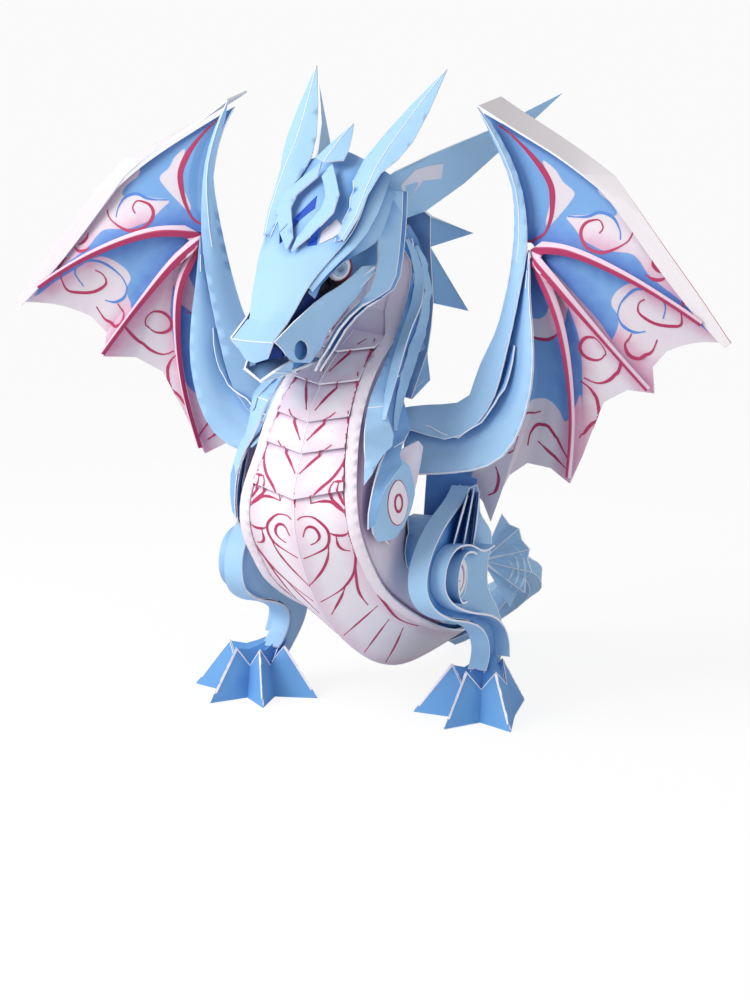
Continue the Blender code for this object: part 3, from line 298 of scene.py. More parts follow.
def printed_line_tree():
    """Turns a polyline into a raised line of ink that lies on the nearest surface of a target."""
    tree, given, result = new_group(
        "GeometryNodeTree", "Printed Line",
        (("Geometry", "NodeSocketGeometry"), ("Target", "NodeSocketObject"),
         ("Rise", "NodeSocketFloat", 0.00012), ("Step", "NodeSocketFloat", 0.0007),
         ("Taper", "NodeSocketFloat", 3.0), ("Material", "NodeSocketMaterial")),
        (("Geometry", "NodeSocketGeometry"),))
    target = node(tree, "GeometryNodeObjectInfo", {"Object": given.outputs["Target"]},
                  transform_space="ORIGINAL").outputs["Geometry"]
    curve = node(tree, "GeometryNodeMeshToCurve", {0: given.outputs["Geometry"]})
    smooth = node(tree, "GeometryNodeCurveSplineType", {0: curve.outputs[0]}, spline_type="CATMULL_ROM")
    fine = node(tree, "GeometryNodeResampleCurve", {0: smooth.outputs[0], "Length": given.outputs["Step"]},
                mode="LENGTH")
    normal = node(tree, "GeometryNodeInputNormal").outputs[0]
    near = node(tree, "GeometryNodeProximity", {0: target}, target_element="FACES").outputs["Position"]
    laid = node(tree, "GeometryNodeSetPosition", {0: fine.outputs[0], "Position": near})
    upright = node(tree, "GeometryNodeSampleNearestSurface", {"Mesh": target, "Value": normal},
                   data_type="FLOAT_VECTOR").outputs["Value"]
    facing = node(tree, "GeometryNodeSetCurveNormal", {0: laid.outputs[0], "Normal": upright}, mode="FREE")
    # The line thins towards both ends.
    along = node(tree, "GeometryNodeSplineParameter").outputs["Factor"]
    ends = maths(tree, "MINIMUM", along, maths(tree, "SUBTRACT", 1.0, along))
    tapered = node(tree, "ShaderNodeClamp", {"Value": maths(tree, "MULTIPLY", ends, given.outputs["Taper"]),
                                             "Min": 0.42, "Max": 1.0})
    width = node(tree, "GeometryNodeInputNamedAttribute", {"Name": "line_width"}, data_type="FLOAT")
    scale = maths(tree, "MULTIPLY", tapered.outputs[0], width.outputs["Attribute"])
    # The upper points of its section are raised off the target, and the lower ones sink in a little.
    profile = node(tree, "GeometryNodeCurvePrimitiveQuadrilateral", {"Width": 0.2, "Height": 1.0})
    across = node(tree, "ShaderNodeSeparateXYZ", {0: node(tree, "GeometryNodeInputPosition").outputs[0]})
    raised = node(tree, "GeometryNodeStoreNamedAttribute",
                  {0: profile.outputs[0], "Name": "top",
                   "Value": maths(tree, "GREATER_THAN", across.outputs["X"], 0.0)},
                  data_type="FLOAT", domain="POINT")
    band = node(tree, "GeometryNodeCurveToMesh", {"Curve": facing.outputs[0], "Fill Caps": True,
                                                  "Profile Curve": raised.outputs[0], "Scale": scale})
    is_top = node(tree, "GeometryNodeInputNamedAttribute", {"Name": "top"}, data_type="FLOAT")
    height = ranged(tree, is_top.outputs["Attribute"], 0.0, 1.0, (-0.00006, given.outputs["Rise"]))
    final = node(tree, "ShaderNodeVectorMath", {0: near, 1: scaled(tree, upright, height)}, operation="ADD")
    settled = node(tree, "GeometryNodeSetPosition", {0: band.outputs[0], "Position": final.outputs[0]})
    real = node(tree, "GeometryNodeRealizeInstances", {0: settled.outputs[0]})
    inked = node(tree, "GeometryNodeSetMaterial", {0: real.outputs[0], "Material": given.outputs["Material"]})
    feed(tree, result.inputs[0], inked.outputs[0])
    return tree


def worn_and_highlit_fold_tree():
    """Adds a thin pale line along every edge marked as a fold: card worn white there, partly a painted
    highlight on the ridge.
    """
    tree, given, result = new_group(
        "GeometryNodeTree", "Worn Folds",
        (("Geometry", "NodeSocketGeometry"), ("Radius", "NodeSocketFloat", 0.0002),
         ("Material", "NodeSocketMaterial")),
        (("Geometry", "NodeSocketGeometry"),))
    marked = node(tree, "GeometryNodeInputNamedAttribute", {"Name": "fold"}, data_type="BOOLEAN")
    curve = node(tree, "GeometryNodeMeshToCurve", {0: given.outputs["Geometry"],
                                                   "Selection": marked.outputs["Attribute"]})
    profile = node(tree, "GeometryNodeCurvePrimitiveCircle", {"Resolution": 5,
                                                              "Radius": given.outputs["Radius"]})
    line = node(tree, "GeometryNodeCurveToMesh", {"Curve": curve.outputs[0], "Fill Caps": True,
                                                  "Profile Curve": profile.outputs[0]})
    worn = node(tree, "GeometryNodeSetMaterial", {0: line.outputs[0], "Material": given.outputs["Material"]})
    joined = node(tree, "GeometryNodeJoinGeometry", {0: worn.outputs[0]})
    feed(tree, joined.inputs[0], given.outputs["Geometry"])
    real = node(tree, "GeometryNodeRealizeInstances", {0: joined.outputs[0]})
    feed(tree, result.inputs[0], real.outputs[0])
    return tree


def group_named(name, builder):
    """The node group of this name, built the first time that it is asked for."""
    return bpy.data.node_groups.get(name) or builder()


def attribute(tree, name):
    return node(tree, "ShaderNodeAttribute", attribute_name=name).outputs["Fac"]


def washed(tree, base, wash):
    """A colour with ink that fades in from the edge attribute; on the wing sheet's blue the ink is painted
    shade.
    """
    values = {"Colour": base, "Ink": wash[0], "Amount": wash[1], "Edge": attribute(tree, "edge")}
    made = node(tree, "ShaderNodeGroup", values, node_tree=group_named("Ink Wash", ink_and_shade_wash_group))
    return made.outputs[0]


def new_material(name):
    """A new material, its node tree and its Principled node."""
    made = bpy.data.materials.new(name)
    made.use_nodes = True
    return made, made.node_tree, made.node_tree.nodes["Principled BSDF"]


def card_material(name, colour_of, painted_shade_of, wash=None, mask=None, fibre=0.05, cloud=0.06, bump=0.00004,
                  depth=True, outside=None):
    """A matte card, deepened towards a colour of painted shade between the layers.

    A wash is (ink, amount). A mask is (attribute, colour inside, painted shade colour inside), with a wash
    of its own where it has one, and outside is the same for a second field below the mask.
    """
    if name in bpy.data.materials:
        return bpy.data.materials[name]
    made, tree, shader = new_material(name)
    # fold holds the colour of the painted shade between the layers.
    base, fold = washed(tree, colour_of, wash) if wash else colour_of, painted_shade_of
    for field, reach in ((outside, 2.0), (mask, 0.25)):
        if field:
            label, inner, inner_painted_shade, *inner_wash = field
            share = ranged(tree, attribute(tree, label), -reach, reach, interpolation_type="SMOOTHSTEP")
            inner = washed(tree, inner, inner_wash[0]) if any(inner_wash) else inner
            base = blended(tree, share, base, inner)
            fold = blended(tree, share, fold, inner_painted_shade)
    made_of = node(tree, "ShaderNodeGroup", {"Colour": base, "Fold Colour": fold, "Cloud": cloud,
                                             "Fibre": fibre},
                   node_tree=group_named("Card Stock", card_stock_group))
    if depth:
        feed(tree, made_of.inputs["Depth"], attribute(tree, "depth"))
    bumped = node(tree, "ShaderNodeBump", {"Height": made_of.outputs["Height"], "Strength": 0.35,
                                           "Distance": bump})
    feed(tree, shader.inputs["Base Color"], made_of.outputs["Colour"])
    feed(tree, shader.inputs["Roughness"], made_of.outputs["Roughness"])
    feed(tree, shader.inputs["Normal"], bumped.outputs[0])
    shader.inputs["Specular IOR Level"].default_value = 0.3
    made.diffuse_color = (*colour_of, 1.0)
    return made


def stock(name):
    """The material of a kind of card, from the colours in the panel."""
    c = settings().colours
    fine = {"fibre": 0.04}
    # Each recipe: the card's own colour, the colour of its painted shade between the layers, then options.
    recipes = {
        "light blue card": (c.light_blue, c.light_painted_shade),
        "mid blue card": (c.mid_blue, c.mid_painted_shade),
        "foot card": (c.foot_blue, c.mid_painted_shade),
        # The head's core is painted shade inside the head: dark blue, near black round the eyes, light blue
        # behind them.
        "deep blue card": (c.core_painted_shade, srgb(10, 24, 84),
                           {"mask": ("field", c.socket, c.socket),
                            "outside": ("behind", srgb(112, 166, 214), c.light_painted_shade)}),
        "shade card": (srgb(86, 138, 200), srgb(28, 60, 140)),
        "white card": (c.white, c.white_painted_shade, {"wash": (c.pink_wash, 0.12)}),
        "trunk card": (c.white, c.white_painted_shade, {"mask": ("field", c.light_blue, c.light_painted_shade)}),
        "printed card": (c.white, c.white_painted_shade, {"wash": (c.pink_wash, 0.34)}),
        # Above its middle line each rib is paler: a painted highlight on its upper side.
        "pink card": (c.pink, srgb(126, 24, 66),
                      {"mask": ("across", srgb(226, 202, 218), srgb(206, 140, 172))}),
        # On the wing sheet the blue deepens beside the ribs as painted shade; the pink on its white fields is
        # print.
        "wing sheet": (c.wing_blue, c.wing_painted_shade,
                       {"wash": (c.wing_painted_shade, 0.75), "cloud": 0.1,
                        "mask": ("field", c.wing_white, c.white_painted_shade, (srgb(204, 122, 164), 0.8))}),
        "rim card": (srgb(222, 217, 221), c.white_painted_shade),
        "cut edge": (c.cut_edge, c.cut_edge, {"fibre": 0.12, "bump": 0.00006, "depth": False}),
        "red cut edge": (c.red_edge, c.red_edge, {"depth": False}),
        "eye rim card": (srgb(122, 26, 48), srgb(70, 8, 24), {"depth": False}),
        "lilac card": (srgb(222, 222, 236), srgb(150, 166, 212), fine),
        # Slot card is painted shadow: a dark patch where a gap between plates lies in shade.
        "slot card": (srgb(30, 78, 184), srgb(12, 34, 120), fine),
        "pink ink": (c.pink, srgb(150, 30, 74), {"fibre": 0.08}),
        "white ink": (srgb(240, 234, 242), c.white_painted_shade, fine),
        "lilac ink": (srgb(176, 150, 196), srgb(120, 90, 160), fine),
        "blue ink": (srgb(84, 134, 204), c.wing_painted_shade, {"fibre": 0.06}),
        "pale ink": (srgb(206, 228, 244), c.light_painted_shade, fine),
    }
    plain, deep, *options = recipes[name]
    return card_material(name, plain, deep, **(options[0] if options else {}))


# ---------------------------------------------------------------- mesh work

def link(name, mesh):
    made = bpy.data.objects.new(name, mesh)
    bpy.context.scene.collection.objects.link(made)
    return made


def applied(obj):
    """Turns an object's modifiers into plain mesh and removes them."""
    dg = bpy.context.evaluated_depsgraph_get()
    mesh = bpy.data.meshes.new_from_object(obj.evaluated_get(dg), preserve_all_data_layers=True, depsgraph=dg)
    obj.modifiers.clear()
    old, obj.data = obj.data, mesh
    bpy.data.meshes.remove(old)
    mesh.name = obj.name
    return obj


def piece(obj, slot, *nodes):
    """Attaches a finished piece to the root body and hides the CAD nodes that it stands for."""
    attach(obj, "root")
    if nodes:
        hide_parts(*nodes)
    return obj


def with_nodes(obj, tree, **values):
    """Runs a Geometry Nodes tree on an object, with its inputs set by socket identifier, and applies it."""
    modifier = obj.modifiers.new(tree.name, "NODES")
    modifier.node_group = tree
    for socket in tree.interface.items_tree:
        if socket.in_out == "INPUT" and socket.name in values:
            modifier[socket.identifier] = values[socket.name]
    return applied(obj)


def facing_out(mesh):
    """Makes the faces of closed bodies point outwards."""
    bm = bmesh.new()
    bm.from_mesh(mesh)
    bmesh.ops.recalc_face_normals(bm, faces=bm.faces)
    bm.to_mesh(mesh)
    bm.free()


def stored(mesh, name, values):
    """Keeps one number for each point of a mesh as an attribute."""
    kept = mesh.attributes.get(name) or mesh.attributes.new(name, "FLOAT", "POINT")
    kept.data.foreach_set("value", np.asarray(values, np.float32))


def points_of(mesh):
    places = np.empty(len(mesh.vertices) * 3, np.float32)
    mesh.vertices.foreach_get("co", places)
    return places.reshape(-1, 3)


def distances(points, others, reach):
    """Distance from each point to the nearest of the others, as a share of reach, at most 1."""
    tree = KDTree(len(others))
    for index, place in enumerate(others):
        tree.insert(place, index)
    tree.balance()
    return [min(tree.find(p)[2] / reach, 1.0) for p in points]


def mesh_from(bm, name, *cards):
    """A mesh of a bmesh, which is freed, with the materials of the kinds of card named."""
    mesh = bpy.data.meshes.new(name)
    bm.to_mesh(mesh)
    bm.free()
    for card in cards:
        mesh.materials.append(stock(card))
    return mesh


def shaded(mesh, degrees):
    """Smooth shading, crisp at the folds sharper than an angle."""
    mesh.shade_smooth()
    mesh.set_sharp_from_angle(angle=math.radians(degrees))


def card_of(name):
    """The finished card of a CAD node."""
    return bpy.data.objects[name + "_card"]


def merged(name):
    """A bmesh copy of a CAD node with its loose triangles joined up."""
    bm = bmesh.new()
    bm.from_mesh(frame["nodes"][name].data)
    bmesh.ops.remove_doubles(bm, verts=bm.verts, dist=WELD)
    bmesh.ops.recalc_face_normals(bm, faces=bm.faces)
    return bm


def mark_cut_edges(bm, height):
    """Gives the narrow strips between two sharp edges, the card's cut borders, the second material."""
    seen = set()
    for first in bm.faces:
        if first in seen:
            continue
        seen.add(first)
        region, around = [first], 0.0
        for face in region:
            for line in face.edges:
                if line.calc_face_angle(0) > SHARP_BORDER:
                    around += line.calc_length()
                    continue
                for other in line.link_faces:
                    if other not in seen:
                        seen.add(other)
                        region.append(other)
        if around and 2 * sum(face.calc_area() for face in region) / around < height:
            for face in region:
                face.material_index = 1


def face_height(face):
    return 2 * face.calc_area() / max(line.calc_length() for line in face.edges)


def mark_folds(bm, angle, keel=False):
    """Marks the convex folds that aren't along a cut edge or between slivers."""
    fold = bm.edges.layers.bool.new("fold")
    for line in bm.edges:
        faces = line.link_faces
        if len(faces) != 2 or any(face.material_index for face in faces):
            continue
        bend = line.calc_face_angle_signed(0)
        if keel and on_keel(line) and bend > KEEL_BEND:
            line[fold] = True
        elif bend > angle and min(face_height(face) for face in faces) > SLIVER:
            line[fold] = True


def on_keel(line):
    return all(abs(vert.co.x) < KEEL_WIDTH for vert in line.verts)


def split_long_edges(bm, length):
    """Cuts long edges until points lie close enough for the fold shade."""
    for _ in range(4):
        long = [edge for edge in bm.edges if edge.calc_length() > length]
        if not long:
            break
        bmesh.ops.subdivide_edges(bm, edges=long, cuts=1)
        bmesh.ops.triangulate(bm, faces=[face for face in bm.faces if len(face.verts) > 4])


def finish_card(name, card, slot, smooth=None, crease=None, edge="cut edge", fold_lines=30, edges=True,
                keel=False, reshape=None, also=()):
    """Makes the finished card that stands for one CAD node, and for the nodes in also behind it."""
    sizes = settings().sizes
    smooth = sizes.smooth_levels if smooth is None else smooth
    crease = sizes.crease_angle if crease is None else math.radians(crease)
    bm = merged(name)
    if edges:
        mark_cut_edges(bm, sizes.edge_height)
    if smooth:
        bmesh.ops.join_triangles(bm, faces=bm.faces, angle_face_threshold=math.radians(22),
                                 angle_shape_threshold=math.radians(120), cmp_materials=True)
        creased = bm.edges.layers.float.new("crease_edge")
        for line in bm.edges:
            held = line.calc_face_angle(0) > crease or (keel and on_keel(line))
            line[creased] = 1.0 if held else 0.0
    else:
        mark_folds(bm, math.radians(fold_lines))
        split_long_edges(bm, POINT_SPACING)
    if reshape:
        reshape(bm)
    cards = (card, edge) if edge == "cut edge" else (card, edge, "cut edge")
    made = link(name + "_card", mesh_from(bm, name + "_card", *cards))
    if smooth:
        modifier = made.modifiers.new("Smooth", "SUBSURF")
        modifier.levels = modifier.render_levels = smooth
        applied(made)
        bm = bmesh.new()
        bm.from_mesh(made.data)
        mark_folds(bm, math.radians(fold_lines), keel)
        bm.to_mesh(made.data)
        bm.free()
    shaded(made.data, 14 if smooth else 30)
    if fold_lines < NO_FOLDS:
        with_nodes(made, group_named("Worn Folds", worn_and_highlit_fold_tree), Radius=sizes.fold_line,
                   Material=stock("cut edge"))
    stored(made.data, "edge", edge_fade(made.data))
    return piece(made, slot, name, *also)


def edge_fade(mesh):
    """How far each point lies from the nearest cut edge, as a share of the wash's reach."""
    rim = sorted({v for face in mesh.polygons if face.material_index for v in face.vertices})
    places = points_of(mesh)
    if not rim:
        return np.ones(len(places))
    return distances(places, places[rim], settings().lines.wash_reach)


def smoothed(points, closed=False, parts=8):
    """More points along a smooth curve through the points given."""
    points = [Vector(p) for p in points]
    count = len(points)
    spans = count if closed else count - 1
    line = []
    for k in range(spans):
        if closed:
            a, b, c, d = (points[(k + j) % count] for j in (-1, 0, 1, 2))
        else:
            a, b, c, d = (points[min(max(k + j, 0), count - 1)] for j in (-1, 0, 1, 2))
        for part in range(parts):
            t = part / parts
            line.append(0.5 * (2 * b + (c - a) * t + (2 * a - 5 * b + 4 * c - d) * t * t
                               + (3 * b - a - 3 * c + d) * t ** 3))
    if not closed:
        line.append(points[-1])
    return line


def surface_of(objects):
    """A tree for finding places on the surfaces of several objects at once."""
    places, faces = [], []
    for obj in objects:
        start = len(places)
        places += [v.co.copy() for v in obj.data.vertices]
        faces += [[start + v for v in face.vertices] for face in obj.data.polygons]
    return BVHTree.FromPolygons(places, faces)


def laid_patch(name, outline, target, card, slot, rise=0.00022, parts=6):
    """A thin closed patch glued on a surface, from an outline in millimetres."""
    surface = surface_of([target])
    ring = [p * MM for p in smoothed(outline, closed=True, parts=parts)]
    centre = sum(ring, Vector()) / len(ring)
    rows = [[centre.lerp(p, share) for p in ring] for share in (1.0, 0.8, 0.6, 0.4, 0.2)]
    bm = bmesh.new()

    def settle(place, height):
        spot, normal, _, _ = surface.find_nearest(place)
        return bm.verts.new(spot + normal * height)

    def layer(height):
        return [[settle(p, height) for p in row] for row in rows], settle(centre, height)

    (top, top_middle), (low, low_middle) = layer(rise), layer(-0.0001)
    for k in range(len(ring)):
        n = (k + 1) % len(ring)
        for verts, middle, turn in ((top, top_middle, 1), (low, low_middle, -1)):
            for outer, inner in zip(verts, verts[1:]):
                bm.faces.new((outer[k], outer[n], inner[n], inner[k])[::turn])
            bm.faces.new((verts[-1][k], verts[-1][n], middle)[::turn])
        bm.faces.new((top[0][k], low[0][k], low[0][n], top[0][n]))
    bmesh.ops.recalc_face_normals(bm, faces=bm.faces)
    mesh = mesh_from(bm, name, card)
    shaded(mesh, 40)
    stored(mesh, "edge", np.ones(len(mesh.vertices)))
    return piece(link(name, mesh), slot)


def printed_lines(name, lines, target, ink, slot, width=None, taper=3.0, rise=None, forward=0.0):
    """Raised printed lines on a target, from lists of points in millimetres.

    The points are moved forward first, so that they land on the front of a thin sheet.
    """
    sizes = settings().lines
    places, edges = [], []
    for line in lines:
        edges += [(len(places) + k, len(places) + k + 1) for k in range(len(line) - 1)]
        places += [(Vector(p) - Vector((0, forward, 0))) * MM for p in line]
    mesh = bpy.data.meshes.new(name)
    mesh.from_pydata(places, edges, [])
    stored(mesh, "line_width", [width or sizes.width] * len(places))
    made = link(name, mesh)
    with_nodes(made, group_named("Printed Line", printed_line_tree), Target=target, Rise=rise or sizes.rise,
               Step=sizes.step, Taper=taper, Material=stock(ink))
    facing_out(made.data)
    shaded(made.data, 40)
    return piece(made, slot)


def joined_copy(name, nodes):
    """One temporary object with the surfaces of several finished cards, as a target for print and strips."""
    bm = bmesh.new()
    for card in nodes:
        bm.from_mesh(card_of(card).data)
    return link(name, mesh_from(bm, name))


def mirrored(points, side):
    return [(p[0] * side, p[1], p[2]) for p in points]


def rim_of(outline):
    """The closed line round an outline."""
    rim = smoothed(outline, closed=True, parts=3)
    return rim + rim[:1]


def out_at(angle):
    """The level direction at an angle in degrees."""
    return Vector((math.cos(math.radians(angle)), math.sin(math.radians(angle)), 0))


def in_head(point, sign=1.0):
    """A place from a point in the head's own frame in millimetres, mirrored for the right side."""
    x, y, z = point
    return HEAD @ (Vector((x * sign, y, z)) * MM)


def to_head(place):
    """The point in the head's own frame in millimetres of a place."""
    return HEAD.inverted() @ place / MM


def front_view(mesh, sign):
    """The (x, z) points of a mesh in millimetres, as on the dragon's left."""
    places = points_of(mesh) / MM
    return np.stack((places[:, 0] * sign, places[:, 2]), 1)


def signed_distance(points, outlines):
    """Distance in millimetres of each (x, z) point from the outlines, positive inside one."""
    points = np.asarray(points, float)
    nearest = np.full(len(points), 1e9)
    inside = np.zeros(len(points), bool)
    for outline in outlines:
        line = np.array([tuple(p)[:2] for p in smoothed([(x, z, 0) for x, z in outline], True, 5)])
        after = np.roll(line, -1, 0)
        within = np.zeros(len(points), bool)
        for a, b in zip(line, after):
            along = b - a
            share = np.clip(((points - a) @ along) / max(along @ along, 1e-9), 0, 1)
            nearest = np.minimum(nearest, np.linalg.norm(points - a - share[:, None] * along, axis=1))
            crossed = (a[1] > points[:, 1]) != (b[1] > points[:, 1])
            reach = a[0] + (points[:, 1] - a[1]) * along[0] / (along[1] if along[1] else 1e-9)
            within ^= crossed & (points[:, 0] < reach)
        inside |= within
    return np.where(inside, nearest, -nearest)


def side_of(points, lines):
    """How far each (x, z) point lies above the nearest of some lines, in millimetres."""
    nearest = np.full(len(points), 1e9)
    above = np.zeros(len(points))
    for line in lines:
        line = np.array([tuple(p)[:2] for p in smoothed([(x, z, 0) for x, z in line])])
        for a, b in zip(line, line[1:]):
            along = b - a
            share = np.clip(((points - a) @ along) / (along @ along), 0, 1)
            off = points - a - share[:, None] * along
            length = np.linalg.norm(off, axis=1)
            closer = length < nearest
            nearest = np.where(closer, length, nearest)
            height = (along[0] * off[:, 1] - along[1] * off[:, 0]) / np.linalg.norm(along)
            above = np.where(closer, height, above)
    return above


def card_strip(name, rows, card, slot, thickness=0.0007, smooth=2):
    """A new bent strip of card with white cut edges, from rows of points in metres."""
    bm = bmesh.new()
    grid = [[bm.verts.new(p) for p in row] for row in rows]
    for low, high in zip(grid, grid[1:]):
        for k in range(len(low) - 1):
            bm.faces.new((low[k], low[k + 1], high[k + 1], high[k]))
    bmesh.ops.remove_doubles(bm, verts=bm.verts, dist=WELD)
    bmesh.ops.recalc_face_normals(bm, faces=bm.faces)
    made = link(name, mesh_from(bm, name, card, "cut edge"))
    wall = made.modifiers.new("Wall", "SOLIDIFY")
    wall.thickness = thickness
    wall.offset = 0
    wall.material_offset_rim = 1
    wall.edge_crease_rim = wall.edge_crease_inner = wall.edge_crease_outer = 1.0
    soft = made.modifiers.new("Smooth", "SUBSURF")
    soft.levels = soft.render_levels = smooth
    applied(made)
    facing_out(made.data)
    shaded(made.data, 30)
    stored(made.data, "edge", np.ones(len(made.data.vertices)))
    return piece(made, slot)


def layer_strip(name, path, sign, target, width, lift):
    """A strip of light blue card glued on a target, along a path in millimetres on the dragon's left.

    It is mirrored for the other side, and its far edge is lifted off the target.
    """
    surface = surface_of([target])
    path = mirrored(path, sign)[::int(sign)]
    spots = [surface.find_nearest(p * MM)[:2] for p in smoothed(path, parts=3)]
    rows = []
    for k, (spot, _) in enumerate(spots):
        normal = sum((n for _, n in spots[max(k - 3, 0):k + 4]), Vector()).normalized()
        along = spots[min(k + 1, len(spots) - 1)][0] - spots[max(k - 1, 0)][0]
        across = normal.cross(along).normalized() * width
        share = math.sin(math.pi * min(max(k / (len(spots) - 1), 0.03), 0.97)) ** 0.5
        rows.append([spot + normal * 0.0005,
                     spot + across * 0.5 * share + normal * (0.0005 + lift * 0.35 * share),
                     spot + across * share + normal * (0.0005 + lift * share)])
    return card_strip(name, rows, *LIGHT, 0.0006)


def shade_folds(cards, reach):
    """Stores on each card how closed in each point lies between the layers around it, as the amount of
    painted shade there.
    """
    surface = surface_of(cards)
    golden = math.pi * (3 - math.sqrt(5))
    rays = []
    for k in range(RAY_COUNT):
        z = 1 - 2 * (k + 0.5) / RAY_COUNT
        r = math.sqrt(1 - z * z)
        rays.append(Vector((r * math.cos(golden * k), r * math.sin(golden * k), z)))
    for card in cards:
        mesh = card.data
        facing = [Vector() for _ in mesh.vertices]
        inward = [Vector() for _ in mesh.vertices]
        areas = [1e-12] * len(mesh.vertices)
        for face in mesh.polygons:
            if not face.material_index:
                for v in face.vertices:
                    facing[v] += face.normal * face.area
                    inward[v] += (face.center - mesh.vertices[v].co) * face.area
                    areas[v] += face.area
        depth = np.zeros(len(mesh.vertices))
        for vert in mesh.vertices:
            normal = facing[vert.index].normalized()
            aside = inward[vert.index] / areas[vert.index]
            aside -= normal * aside.dot(normal)
            start = vert.co + normal * RAY_START + aside
            total = closed = 0.0
            for ray in rays:
                lean = ray.dot(normal)
                if lean > STEEPEST_RAY:
                    total += lean
                    hit = surface.ray_cast(start, ray, reach)
                    if hit[0] is not None:
                        closed += lean * (1 - hit[3] / reach)
            depth[vert.index] = closed / total if total else 0.0
        rounds = ROUNDS_RIM if card.name.startswith("rim_strip") else ROUNDS
        stored(mesh, "depth", evened(mesh, depth, np.array([f.normalized() for f in facing]), rounds))


def evened(mesh, values, facing, rounds):
    """Values at the points of a mesh, averaged a few times with the neighbours that face the same way."""
    ends = np.empty(len(mesh.edges) * 2, np.int32)
    mesh.edges.foreach_get("vertices", ends)
    first, second = ends.reshape(-1, 2).T
    alike = (facing[first] * facing[second]).sum(axis=1) > SAME_WAY
    first, second = first[alike], second[alike]
    count = np.bincount(first, minlength=len(values)) + np.bincount(second, minlength=len(values))
    for _ in range(rounds):
        around = (np.bincount(first, values[second], len(values))
                  + np.bincount(second, values[first], len(values)))
        values = np.where(count, (1 - EVENING) * values + EVENING * around / np.maximum(count, 1), values)
    return values


# ---------------------------------------------------------------- print data

# White fields of a wing sheet: outlines in millimetres, as (x, z) seen from the front.
WING_FIELDS = (
    ((99, 213), (104.5, 208.5), (107, 205), (105, 203.5), (100, 205), (94, 203.5), (86, 202.5), (89, 199),
     (93.5, 194.5), (98.5, 192), (103.5, 190.5), (113, 190), (117, 187.5), (120.5, 183), (125.5, 179),
     (133.5, 173.5), (145, 163.5), (154, 154), (158, 160), (150, 180), (130, 206), (110, 222),
     (101.5, 220)),
    ((77, 224), (82, 220.5), (85, 216), (89.5, 212), (87.5, 208), (83.5, 203.5), (78.5, 198.5), (77, 200),
     (79, 206.5), (80.5, 212.5), (79, 218.5)),
    ((116.5, 178.5), (111, 177.5), (106, 173.5), (104.5, 169.5), (106.5, 166), (107, 162.5), (105.5, 157.5),
     (106, 153.5), (120.5, 132), (126, 140), (132, 150), (150, 152), (158, 156), (147, 160.5), (138, 166.5),
     (126, 173.5)),
    ((77, 184), (83.5, 179), (92, 170.5), (99.5, 162.5), (106, 153.5), (121.5, 133), (110, 128), (100, 112),
     (81.5, 91), (85.5, 108.5), (88, 121.5), (89.5, 138), (89.5, 154), (86.5, 166), (83, 176)),
    ((80.5, 178.5), (83.5, 175), (86, 169.5), (85, 164.5), (83.5, 160), (79, 155.5), (74.5, 153),
     (70.5, 153.5),
     (68.5, 155.5), (69, 161), (73, 161.5), (76.5, 164.5), (78.5, 170.5), (79, 175.5)),
    ((65.5, 126.5), (67.5, 128), (72, 128.5), (75.5, 127), (78.5, 123.5), (80.5, 120), (83.5, 122),
     (86, 126.5),
     (88.5, 132), (88, 121.5), (85.5, 108.5), (82.5, 91), (70, 88), (60, 94), (50, 84), (44, 68), (36, 74),
     (38, 94.5), (47.5, 101), (55, 106), (60.5, 114), (63.5, 121)),
)

# Lines printed on a wing, in millimetres.
WING_PINK = (
    ((100, -32.5, 197.5), (101.5, -32.5, 199.5), (100, -32, 202), (97, -32, 202), (93.5, -31.5, 200.5),
     (92, -31.5, 197.5), (93.5, -32, 194), (97, -33, 191.5), (102, -33.5, 190.5), (107, -33.5, 192),
     (112, -33, 195), (114, -32, 198.5)),
    ((122.5, -33, 189), (123, -33.5, 186.5), (125.5, -34, 184.5), (127, -33.5, 184)),
    ((120.5, -35, 183), (123.5, -35, 181.5), (126.5, -34.5, 181.5), (129, -33.5, 183)),
    ((132.5, -34, 178.5), (135.5, -34.5, 174.5), (135.5, -36, 171)),
    ((118, -34.5, 170.5), (115.5, -33, 169), (115, -31, 166), (117.5, -30.5, 163.5), (122, -30, 161.5),
     (127.5, -30.5, 161), (132.5, -32.5, 162), (133, -37, 169)),
    ((112, -27.5, 157.5), (110.5, -27, 154), (112, -26.5, 150.5), (115.5, -25.5, 149),
     (119.5, -25.5, 150.5),
     (122, -27, 155.5)),
    ((104.5, -29, 155.5), (107.5, -28.5, 150), (105.5, -23.5, 143.5), (101, -20, 138), (95.5, -18.5, 136),
     (90.5, -19.5, 138)),
    ((89.5, -19.5, 136.5), (93, -18, 133), (95, -16, 128), (95, -13.5, 121.5), (93.5, -13, 116.5)),
    ((95, -13.5, 122), (91.5, -14, 118), (88, -13, 113)),
    ((68.5, -22, 154.5), (71.5, -21, 152.5), (75.5, -21.5, 152.5), (80, -23.5, 155.5)),
    ((69.5, -11.5, 122), (65, -11, 120), (62, -10.5, 115.5), (60, -8.5, 110), (58, -8, 106.5),
     (54.5, -9.5, 104)),
    ((62.5, -7, 107), (64, -8.5, 112), (67, -9.5, 116), (71, -10.5, 116.5), (73.5, -10.5, 114),
     (76.5, -10.5, 109), (80, -11, 104), (82.5, -11.5, 101)),
    ((66.5, -8, 109.5), (72, -8, 105), (78.5, -9.5, 100)),
    ((48.5, -7.5, 98), (49.5, -7, 93), (47.5, -6, 87.5), (44, -5, 85.5)),
)
WING_RING = ((94.5, -23.2, 150.0), 5.2)
